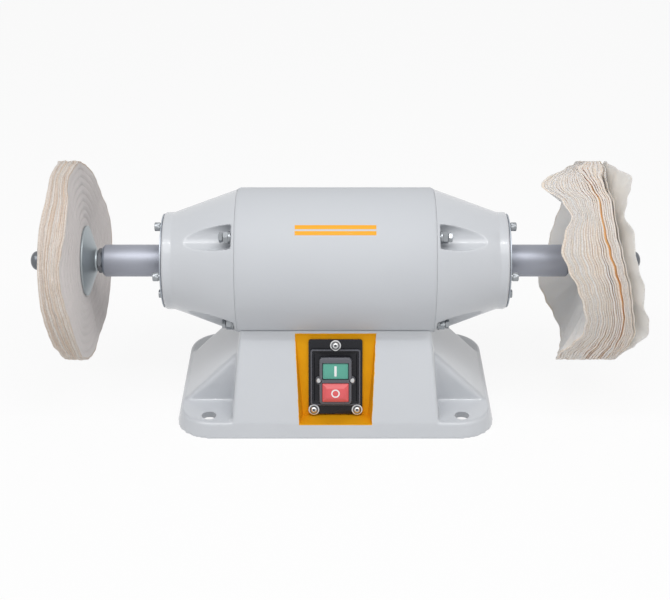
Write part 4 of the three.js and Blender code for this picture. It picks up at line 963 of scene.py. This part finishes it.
# where the rims of the loose plies lie along the shaft, in mm, at every 10 degrees from the front
# over the top
looseSizes = Values(
    start=249.7, width=21.6, bore=0.0071, clamp=0.034, radius=0.0992, steps=180, rings=22, inmost=[232, 226,
    217, 210, 214, 220, 213.5, 203, 207.5, 222, 238, 240, 240, 240, 240, 241, 241, 237, 232, 228, 226, 217,
    217, 222, 230, 235, 234, 231, 226, 222, 219, 217, 217, 227, 235, 236], crevice=[270, 266, 261, 255.5,
    251.5, 250.3, 249.5, 244, 238.4, 234, 243, 249, 252, 254, 255, 256, 256, 255, 253, 252, 251, 248, 247,
    250, 255, 257, 257, 258, 262, 264, 266, 267, 268, 270, 272.5, 272.5], dense=[277, 273, 269, 265.5, 262,
    261, 260, 255.5, 254.5, 260, 260, 261, 262, 263, 264, 264, 264, 263, 262, 261, 260, 259, 259, 260, 263,
    265, 266, 268, 270, 272, 274, 275, 276, 281, 283, 280], outmost=[289, 288, 282.5, 279, 279, 271, 274.5,
    280, 284, 273, 267, 267, 269, 271, 273, 273, 271, 269, 268, 269, 271, 273, 275, 277, 279, 281, 281, 281,
    279, 277, 276, 274, 279, 288, 297.5, 296], firstStack=17, secondStack=5, crack=2.0, crackFloor=2.6,
    crackAngle=math.radians(28), crackHalf=math.radians(75), outerThickness=0.7, outerGap=1.1,
    flarePower=2.1, outerShares=[0.1, 1.0], coreShare=0.88, horn=8.6, hornAngle=math.radians(73),
    hornHalf=math.radians(14), openAngle=math.radians(-38), openHalf=math.radians(48), openShare=1.4,
    raiseAngle=math.radians(62), raiseHalf=math.radians(50), gapShares=[0, 0, 0, 0.02, 0, 0, 0.04, 0, 0.07,
    0.02, 0.1, 0, 0.08, 0.03, 0.12, 0.04, 0.1, 0.05, 0.1, 0.02, 0.06, 0])


def plySpans():
    # the stack's plies from the motor outwards, as shares of the clamp and places between the tables
    s = looseSizes
    count = s.firstStack + s.secondStack
    weights = [1 + 0.45 * noise.noise(Vector((7.3, k * 0.83, 1.1))) for k in range(count)]
    spans = []
    for first, last in ((0, s.firstStack), (s.firstStack, count)):
        total = sum(weights[first:last])
        place = 0.0
        for k in range(first, last):
            start, place = place, place + weights[k]
            spans.append((first == 0, start / total, place / total, k / count, (k + 1) / count))
    return spans


def stackPlace(inFirst, share, clampShare, angle, reach):
    # where one face of a ply lies along the shaft
    s = looseSizes
    crack = s.crack * hump(angle, s.crackAngle, s.crackHalf)
    crevice = roundShare(s.crevice, angle)
    if inFirst:
        low = roundShare(s.inmost, angle) - s.horn * hump(angle, s.hornAngle, s.hornHalf)
        high = crevice - crack / 2
    else:
        low, high = crevice + crack / 2, roundShare(s.dense, angle)
    atRim = low + (high - low) * share
    atClamp = s.start + s.width * clampShare * s.coreShare
    return atClamp + (atRim - atClamp) * reach ** 1.4


def loosePly(name, placeOf, seed, gap=0.0, thin=False, sunk=0.0):
    # one ply, flat first, then swept aside towards its rim; placeOf gives both its faces
    s = looseSizes
    half = 0.0004
    rings = [s.bore, s.clamp * 0.6]
    rings += [s.clamp + (s.radius - s.clamp) * k / s.rings for k in range(s.rings + 1)]
    near = [(-half, radius) for radius in rings]
    far = [(half, radius) for radius in reversed(rings)]
    piece = turnedPiece(name, near + [(0, s.radius + 0.0003)] + far + [near[0]], s.steps)
    acrossData, edgeData, warmData = noteFlat(piece)
    for index, vertex in enumerate(piece.data.vertices):
        x, y, z = vertex.co
        radius = math.hypot(y, z)
        angle = math.atan2(z, -y)
        reach = max(0.0, (radius - s.clamp) / (s.radius - s.clamp))
        side = x / half
        low, high, depth = placeOf(angle, reach)
        opened = 1 + s.openShare * hump(angle, s.openAngle, s.openHalf)
        margin = 0.005 + gap * opened * (1.1 + 1.6 * waveOf(angle, 2.6, seed * 0.9))
        along = (low + high) / 2 + side * (high - low) * (0.5 - max(0.005, margin) * min(1.0, reach * 3))
        wave = (waveOf(angle, 3.1, depth * 1.3) + 0.7 * waveOf(angle, 7.3, depth * 2.1 + 5)) * reach * reach
        ragged = 0.0007 * waveOf(angle, 6, seed * 3.1) + 0.0004 * waveOf(angle, 31, seed * 5.3)
        floor = sunk * (1 - 0.55 * hump(angle, s.raiseAngle, s.raiseHalf))
        grow = 1 + reach ** 3 * (ragged - 0.0005 - floor) / s.radius
        vertex.co = ((along + wave) / 1000, y * grow, z * grow)
        acrossData[index].value = seed * 3.7 + side * 0.6
        edgeData[index].value = 1.0 if radius > s.radius - 0.0004 and not sunk else 0.0
        outside = side < -0.5 and seed == 1 or side > 0.5 and seed == s.firstStack + s.secondStack
        inside = not (outside or thin)
        warmData[index].value = 0.9 * smoothStep(0.5, 0.95, reach) if inside else 0.0
    return piece


def looseBuff():
    s = looseSizes
    plies = []
    for k, (inFirst, low, high, clampLow, clampHigh) in enumerate(plySpans()):
        def placeOf(angle, reach):
            return (stackPlace(inFirst, low, clampLow, angle, reach),
                    stackPlace(inFirst, high, clampHigh, angle, reach), low if inFirst else 1 + low * 0.2)

        plies.append(loosePly(f"loose_cotton_ply_{k + 1}", placeOf, k + 1, s.gapShares[k]))

    def crackPlace(angle, reach):
        share = s.firstStack / (s.firstStack + s.secondStack)
        return (stackPlace(True, 1.0, share, angle, reach) - 0.1,
                stackPlace(False, 0.0, share, angle, reach) + 0.1, 1)

    plies.append(loosePly("loose_cotton_inset", crackPlace, 60, sunk=s.crackFloor / 1000))
    for k, share in enumerate(s.outerShares):
        step = s.outerGap * (k + 0.5)

        def thinPlace(angle, reach):
            flare = max(0.0, roundShare(s.outmost, angle) - roundShare(s.dense, angle) - step)
            middle = stackPlace(False, 1.0, 1.0, angle, reach) + step
            middle += flare * share * reach ** s.flarePower
            return middle - s.outerThickness / 2, middle + s.outerThickness / 2, 1.2

        plies.append(loosePly(f"loose_cotton_outer_{k + 1}", thinPlace, 40 + k, thin=True))
    return plies


looseLook = clothLook(
    "loose_cotton", tone(253, 246, 240), tone(243, 235, 228),
    [(0.3, 234, 226, 219), (0.42, 242, 238, 234), (0.5, 234, 214, 194), (0.56, 240, 235, 231),
     (0.7, 232, 225, 219)], tone(244, 172, 98), 0.8)
# a greyer copy of the loose cotton, used on the outermost ply only: painted shade on that ply
outerPlyShadedLook = clothLook(
    "outer_cotton_painted_shade", tone(242, 239, 233), tone(230, 226, 220),
    [(0.3, 230, 225, 219), (0.5, 240, 236, 232), (0.7, 228, 223, 218)], tone(230, 226, 220), 0.6)
for ply in looseBuff():
    settle(ply, onAxis)
    look = outerPlyShadedLook if "outer_2" in ply.name else looseLook
    finish(ply, look, "rotor", ["loose_buff"], 60)
print("loose buff made")


# Switch

switchSizes = Values(
    halfWidth=0.0266, halfHeight=0.0378, thickness=0.002, corner=0.0024, frameHalfWidth=0.0246,
    frameHalfHeight=0.0283, frameHeight=0.0032, frameRim=0.0016, ledge=0.0036, ledgeWidth=0.0021,
    bezelHalfWidth=0.0159, bezelHalfHeight=0.0234, bezelHeight=0.0064, bezelCorner=0.0034, drop=0.003,
    bodyHalfWidth=0.0144, bodyHalfHeight=0.0214, bodyDepth=0.034, tabReach=0.0196, tabHalf=0.0042,
    tabThickness=0.0022, screwOffset=0.0164, startHalfWidth=0.0126, startHalfHeight=0.008,
    startRise=0.00985, startSink=0.0012, stopHalfWidth=0.0129, stopHalfHeight=0.0091, stopDrop=0.0113,
    stopProud=0.0044, stopBevel=0.003, buttonDepth=0.009, clearance=0.0004, well=0.013, gap=0.0003,
    topScrew=0.0318, lowScrew=0.033, lowOffset=0.0214, washer=0.0054, ledgeFoot=0.0022, blade=(0.0064,
    0.0008, 0.008), bladeY=0.012, bladeDrop=0.0035, mark=0.0004, markSink=0.00035)
plateNormal = switchPlace.to_3x3() @ Vector((0, 0, 1))
# the raised frame's upper edges get a painted highlight, a lighter grey above the frame's height
blackPlate = plasticLook("plate_plastic", tone(26, 27, 33), 0.22, shine=0.3, paintedEdgeGlint=Values(
    up=plateNormal.z, out=-plateNormal.y, tone=tone(86, 87, 94),
    height=plateNormal.dot(switchPlace.translation) + switchSizes.thickness + switchSizes.frameHeight))
plateScrews = {
    "top": (0, switchSizes.topScrew), "left": (-switchSizes.lowOffset, -switchSizes.lowScrew),
    "right": (switchSizes.lowOffset, -switchSizes.lowScrew)}


def onPlate(x, y, z):
    return switchPlace @ shift(x, y, z)


def seatBore(x, y, z, radius, depth):
    # a straight cutter that stands on the plate
    return settle(rod("bore", 0, depth, radius, 40), shift(x, y, z) @ upright)


def switchPlate():
    s = switchSizes
    plate = roundedBlock("switch_face_plate", s.halfWidth, s.halfHeight, s.corner, s.thickness)
    soften(plate, 0.0004)
    top = s.thickness + s.frameHeight
    raised = roundedBlock("raised", s.frameHalfWidth, s.frameHalfHeight, s.corner, top)
    for inset, corner, floor in (
            (s.frameRim, 0.0014, s.ledge), (s.frameRim + s.ledgeWidth, 0.001, s.ledgeFoot)):
        pocket = roundedBlock("pocket", s.frameHalfWidth - inset, s.frameHalfHeight - inset, corner, top)
        cut(raised, settle(pocket, shift(0, 0, floor)))
    soften(raised, 0.0005, 3)
    fuse(plate, settle(raised, shift(0, 0, 0.0001)))
    window = block("window", (2 * (s.bodyHalfWidth + s.gap), 2 * (s.bodyHalfHeight + s.gap), 2 * past),
                   (0, -s.drop, 0))
    seats = [seatBore(x, y, s.thickness, s.washer + s.gap, past) for x, y in plateScrews.values()]
    cut(plate, window, joinPieces("seats", *seats))
    return settle(plate, onPlate(0, 0, s.gap))


def switchBody():
    s = switchSizes
    body = soften(roundedBlock(
        "switch_housing", s.bezelHalfWidth, s.bezelHalfHeight, s.bezelCorner, s.bezelHeight, 8), 0.0012, 3)
    fuse(body, soften(roundedBlock("tabs", s.tabReach, s.tabHalf, 0.0035, s.tabThickness)))
    fuse(body, block("back", (2 * s.bodyHalfWidth, 2 * s.bodyHalfHeight, s.bodyDepth + s.tabThickness),
                     (0, 0, (s.tabThickness - s.bodyDepth) / 2)))
    over = 0.005
    depth = s.well + over
    for halfWidth, halfHeight, y in ((s.startHalfWidth, s.startHalfHeight, s.startRise),
                                     (s.stopHalfWidth, s.stopHalfHeight, -s.stopDrop)):
        cut(body, block("well", (2 * (halfWidth + s.clearance), 2 * (halfHeight + s.clearance), depth),
                        (0, y, s.bezelHeight + over - depth / 2)))
    cut(body, *(seatBore(x, 0, s.tabThickness, 0.0029, 0.02) for x in (-s.screwOffset, s.screwOffset)))
    blades = [block("blade", s.blade, (x * s.bodyHalfWidth / 2, y * s.bladeY, -s.bodyDepth - s.bladeDrop))
              for x in (-1, 1) for y in (-1, 1)]
    body = joinPieces("switch_housing", body, *blades)
    return settle(body, onPlate(0, -s.drop, s.gap + s.thickness + s.gap))


def buttonCap(name, halfWidth, halfHeight, height, bevel, rounding):
    piece = roundedBlock(name, halfWidth, halfHeight, 0.0005, height - bevel, 2)
    edit(piece)
    pickFaces(piece, lambda normal: normal.z > 0.9)
    raiseFaces(bevel)
    scaleTo(1 - rounding / halfWidth, 1 - rounding / halfHeight)
    done()
    return soften(piece, angle=25)


def switchParts():
    s = switchSizes
    finish(switchPlate(), blackPlate, "machine", ["switch_plate"])
    finish(switchBody(), greyPlastic, "machine", ["switch_body"])
    foot = s.gap + s.thickness + s.gap + s.bezelHeight - s.buttonDepth
    startTop = s.buttonDepth - s.startSink
    start = buttonCap("start_cap", s.startHalfWidth, s.startHalfHeight, startTop, 0.0004, 0.0004)
    startPlace = onPlate(0, s.startRise - s.drop, foot)
    finish(settle(start, startPlace), greenPlastic, "start_button", ["start_button"])
    line = roundedBlock("start_mark", 0.00115, 0.0052, 0.0005, s.mark, 3)
    settle(line, startPlace @ shift(0, 0, startTop - s.markSink))
    finish(line, whiteInlay, "start_button", smooth=35)
    stopTop = s.buttonDepth + s.stopProud
    stop = buttonCap("stop_cap", s.stopHalfWidth, s.stopHalfHeight, stopTop, s.stopBevel, 0.0044)
    stopPlace = onPlate(0, -s.stopDrop - s.drop, foot)
    finish(settle(stop, stopPlace), redPlastic, "stop_button", ["stop_button"])
    circle = ring("stop_mark", 0, s.mark, 0.0029, 0.0042, 64)
    settle(circle, stopPlace @ shift(0, 0, stopTop - s.markSink) @ upright)
    finish(circle, whiteInlay, "stop_button", smooth=35)


plateScrewSizes = Values(
    washer=0.0054, washerHeight=0.0012, head=0.0034, ring=0.0042, headHeight=0.0026, flats=0.003,
    socket=0.002, shank=0.002, length=0.009, edge=0.0003)


def plateScrew():
    # a button-head screw with its washer, its seat at x = 0
    s = plateScrewSizes
    foot = s.washerHeight
    top = foot + s.headHeight
    washer = soften(ring("washer", 0, foot - 0.0001, s.shank, s.washer, 56))
    sections = [(foot, s.head * 0.96), (foot + s.edge, s.head)]
    for step in range(1, 7):
        angle = step / 7 * quarter
        sections.append((foot + s.edge + (s.headHeight - s.edge) * math.sin(angle),
                         s.head * math.cos(angle) ** 0.8))
    sections.append((top, s.head * 0.3))
    head = cut(turnedPiece("head", sections, 48), barPiece("socket", top - s.socket, top + 0.003, s.flats))
    shank = turnedPiece("shank", [
        (-s.length, s.shank * 0.8), (-s.length + 0.0008, s.shank), (foot, s.shank)], 24)
    return joinPieces("plate_screw", head, washer, shank)


def screwShade(name):
    # dark pieces that stand in for painted shade: a ring in the gap under the head, and a disc on the floor
    # of its socket
    s = plateScrewSizes
    foot, floor = s.washerHeight, s.washerHeight + s.headHeight - s.socket
    under = ring("ring", foot - 0.0003, foot + 0.0001, s.head * 0.9, s.ring)
    return joinPieces(name, under, rod("disc", floor - 0.0001, floor + 0.0001, s.flats * 0.45, 24))


def crossCut(head, along, depth, width, lengthY, lengthZ):
    # a cross recess in the top of a small head
    return cut(head, block("slot", (depth, lengthY, width), (along, 0, 0)),
               block("slot", (depth, width, lengthZ), (along, 0, 0)))


def switchScrews():
    s = switchSizes
    pattern = plateScrew()
    for place, (x, y) in plateScrews.items():
        spot = onPlate(x, y, 2 * s.gap + s.thickness) @ upright
        screw = copyOf(pattern, f"button_screw_{place}", spot)
        finish(screw, washerZinc, "machine", [f"plate_screw_{place}"])
        # dark pieces placed as painted shade under the head and in the socket
        shade = settle(screwShade(f"screw_painted_shade_{place}"), spot)
        finish(shade, darkSteel, "machine", smooth=35)
    bpy.data.objects.remove(pattern)
    for side, sign in (("left", -1), ("right", 1)):
        head = turnedPiece(f"small_screw_{side}", [
            (-0.004, 0.0011), (-0.0035, 0.0014), (0, 0.0014), (0, 0.0024), (0.0002, 0.0025),
            (0.0009, 0.0024), (0.0014, 0.0019), (0.0016, 0.0010)], 32)
        crossCut(head, 0.0015, 0.0008, 0.0007, 0.006, 0.0034)
        spot = onPlate(sign * s.screwOffset, -s.drop, 3 * s.gap + s.thickness + s.tabThickness)
        settle(head, spot @ turnZ(0.6) @ upright)
        finish(head, washerZinc, "machine", [f"switch_screw_{side}"])


switchParts()
switchScrews()
print("switch made")


# Cable gland, cover plate and its screws

glandSizes = Values(
    x=0.06, height=0.052, thread=0.008, bore=0.004, flats=0.022, hexHeight=0.007, dome=0.0096,
    domeLength=0.011, lockHeight=0.004, domeFoot=0.0092, ribs=4,
    ribPitch=0.0011)


def cableGland():
    s, b = glandSizes, baseSizes
    slope = (b.footHalfDepth - b.topHalfDepth) / (b.slopeTop - b.flange)
    backY = b.footHalfDepth - (s.height - b.flange) * slope
    lockEnd = -b.wall - 0.0006
    lockStart = lockEnd - s.lockHeight
    foot = lockStart - 0.0003
    hexEnd, domeEnd = s.hexHeight, s.hexHeight + s.domeLength
    sections = [(foot, s.bore), (foot, s.thread), (hexEnd - 0.001, s.thread), (hexEnd - 0.001, s.domeFoot)]
    for k in range(s.ribs):
        rib = hexEnd + 0.001 + k * s.ribPitch
        sections += [(rib, s.dome), (rib + 0.0007, s.dome), (rib + 0.0008, s.domeFoot),
                     (rib + 0.001, s.domeFoot)]
    sections += [(hexEnd + s.domeLength / 2, s.dome), (domeEnd - 0.002, s.dome * 0.86),
                 (domeEnd, s.dome * 0.7), (domeEnd, s.bore), (foot, s.bore)]
    parts = [turnedPiece("gland_body", sections, 64)]
    for start, end in ((0.0003, hexEnd), (lockStart, lockEnd)):
        nut = barPiece("gland_nut", start, end, s.flats)
        parts.append(cut(nut, rod("core", -3 * past, 3 * past, s.bore + 0.001, 32)))
    gland = joinPieces("rear_gland", *parts)
    settle(gland, shift(s.x, backY, s.height) @ turnX(math.atan(slope)) @ turnZ(quarter))
    finish(gland, blackPlastic, "machine", ["cable_gland"])


def floorScrew(side):
    low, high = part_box(f"base_screw_{side}")
    radius = (high.x - low.x) / 2
    head = turnedPiece(f"cover_plate_screw_{side}", [
        (low.z, radius * 0.6), (low.z + 0.0004, radius * 0.9), (low.z + 0.0008, radius),
        (low.z + 0.0013, radius), (low.z + 0.0013, 0.002), (high.z - 0.0006, 0.002), (high.z, 0.0014)], 48)
    crossCut(head, low.z, 0.0012, 0.001, 0.0045, 0.0045)
    settle(head, shift((low.x + high.x) / 2, 0, 0) @ upright)
    finish(head, zincPlate, "machine", [f"base_screw_{side}"])


cableGland()
floorScrew("left")
floorScrew("right")

keptNodes = (
    (dullZinc, "base_cover_plate"), (coverAluminium, "run_capacitor", "rotor_core"),
    (blackPlastic, "terminal_block"), (blackRubber, "motor_lead"),
    (zincPlate, "saddle_bolt_left", "saddle_bolt_right"),
    (copper, "winding_head_left", "winding_head_right"),
    (darkSteel, "stator_core", "bearing_cage_left", "bearing_cage_right"),
    (shaftSteel, "rotor_shaft", "bearing_outer_ring_left", "bearing_outer_ring_right",
     "bearing_inner_ring_left", "bearing_inner_ring_right"))
for look, *names in keptNodes:
    for name in names:
        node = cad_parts[name]
        if not node.material_slots:
            node.data.materials.append(look)
        for place in node.material_slots:
            place.link = "OBJECT"
            place.material = look
print("gland, floor screws and inner nodes finished")


# Floor, light and camera

stageSizes = Values(
    floor=12.0, distance=1.43, elevation=math.radians(25.5), axisTilt=math.radians(27.08), focalPixels=1430,
    imageWidth=670, sensor=36.0, sideStep=-0.0005, floorGlow=0.9, worldLight=0.37)


def whiteFloor():
    floor = fresh("pale_floor", bpy.ops.mesh.primitive_plane_add, size=stageSizes.floor,
                  location=(0, 0, -0.0002))
    look = Look("pale_floor")
    look.set(Base_Color=tone(240, 240, 240), Roughness=0.9)
    rays = look.node("ShaderNodeLightPath").socket.node
    seen = Signal(look, rays.outputs["Is Camera Ray"])
    for kind in ("Is Glossy Ray", "Is Transmission Ray"):
        seen = seen + Signal(look, rays.outputs[kind])
    glow = look.node("ShaderNodeEmission", {}, {"Color": (1, 1, 1, 1), "Strength": 1.0})
    plain = Signal(look, look.shader.outputs[0])
    mixed = look.node("ShaderNodeMixShader", {}, {0: seen * stageSizes.floorGlow, 1: plain, 2: glow})
    look.feed(look.tree.nodes["Material Output"].inputs["Surface"], mixed)
    floor.data.materials.append(look.material)


def whiteWorld():
    # white where it is seen, and dimmer as light
    world = bpy.data.worlds.new("white_studio")
    bpy.context.scene.world = world
    world.use_nodes = True
    tree = world.node_tree
    rays = tree.nodes.new("ShaderNodeLightPath")
    seen = rays.outputs["Is Camera Ray"]
    for kind in ("Is Glossy Ray", "Is Transmission Ray"):
        both = tree.nodes.new("ShaderNodeMath")
        both.operation = "MAXIMUM"
        tree.links.new(seen, both.inputs[0])
        tree.links.new(rays.outputs[kind], both.inputs[1])
        seen = both.outputs[0]
    join = tree.nodes.new("ShaderNodeMixShader")
    tree.links.new(seen, join.inputs[0])
    for k, (background, colour, strength) in enumerate((
            (tree.nodes["Background"], (0.985, 0.99, 1.0, 1), stageSizes.worldLight),
            (tree.nodes.new("ShaderNodeBackground"), (1, 1, 1, 1), 1.0))):
        background.inputs["Color"].default_value = colour
        background.inputs["Strength"].default_value = strength
        tree.links.new(background.outputs[0], join.inputs[k + 1])
    tree.links.new(join.outputs[0], tree.nodes["World Output"].inputs["Surface"])


def softLight(name, place, target, size, power):
    lamp = fresh(name, bpy.ops.object.light_add, type="AREA", location=place)
    lamp.data.shape = "RECTANGLE"
    lamp.data.size, lamp.data.size_y = size
    lamp.data.energy = power
    lamp.rotation_euler = (Vector(target) - Vector(place)).to_track_quat("-Z", "Y").to_euler()


def camera():
    s = stageSizes
    back = s.distance * math.cos(s.elevation)
    up = s.distance * math.sin(s.elevation)
    made = fresh("Camera", bpy.ops.object.camera_add, location=(s.sideStep, -back, axisHeight + up),
                 rotation=(quarter - s.axisTilt, 0, 0))
    made.data.sensor_width = s.sensor
    made.data.sensor_fit = "HORIZONTAL"
    made.data.lens = s.focalPixels / s.imageWidth * s.sensor
    bpy.context.scene.camera = made


whiteFloor()
whiteWorld()
softLight("overhead_box", (0, -0.85, 1.6), (0, 0, 0.1), (3.0, 1.0), 22.3)
softLight("strip_light", (0, -0.62, 1.6), (0, 0, 0.15), (2.0, 0.06), 4.6)
camera()
bpy.context.scene.view_settings.view_transform = "Standard"
print("stage, lights and camera made")
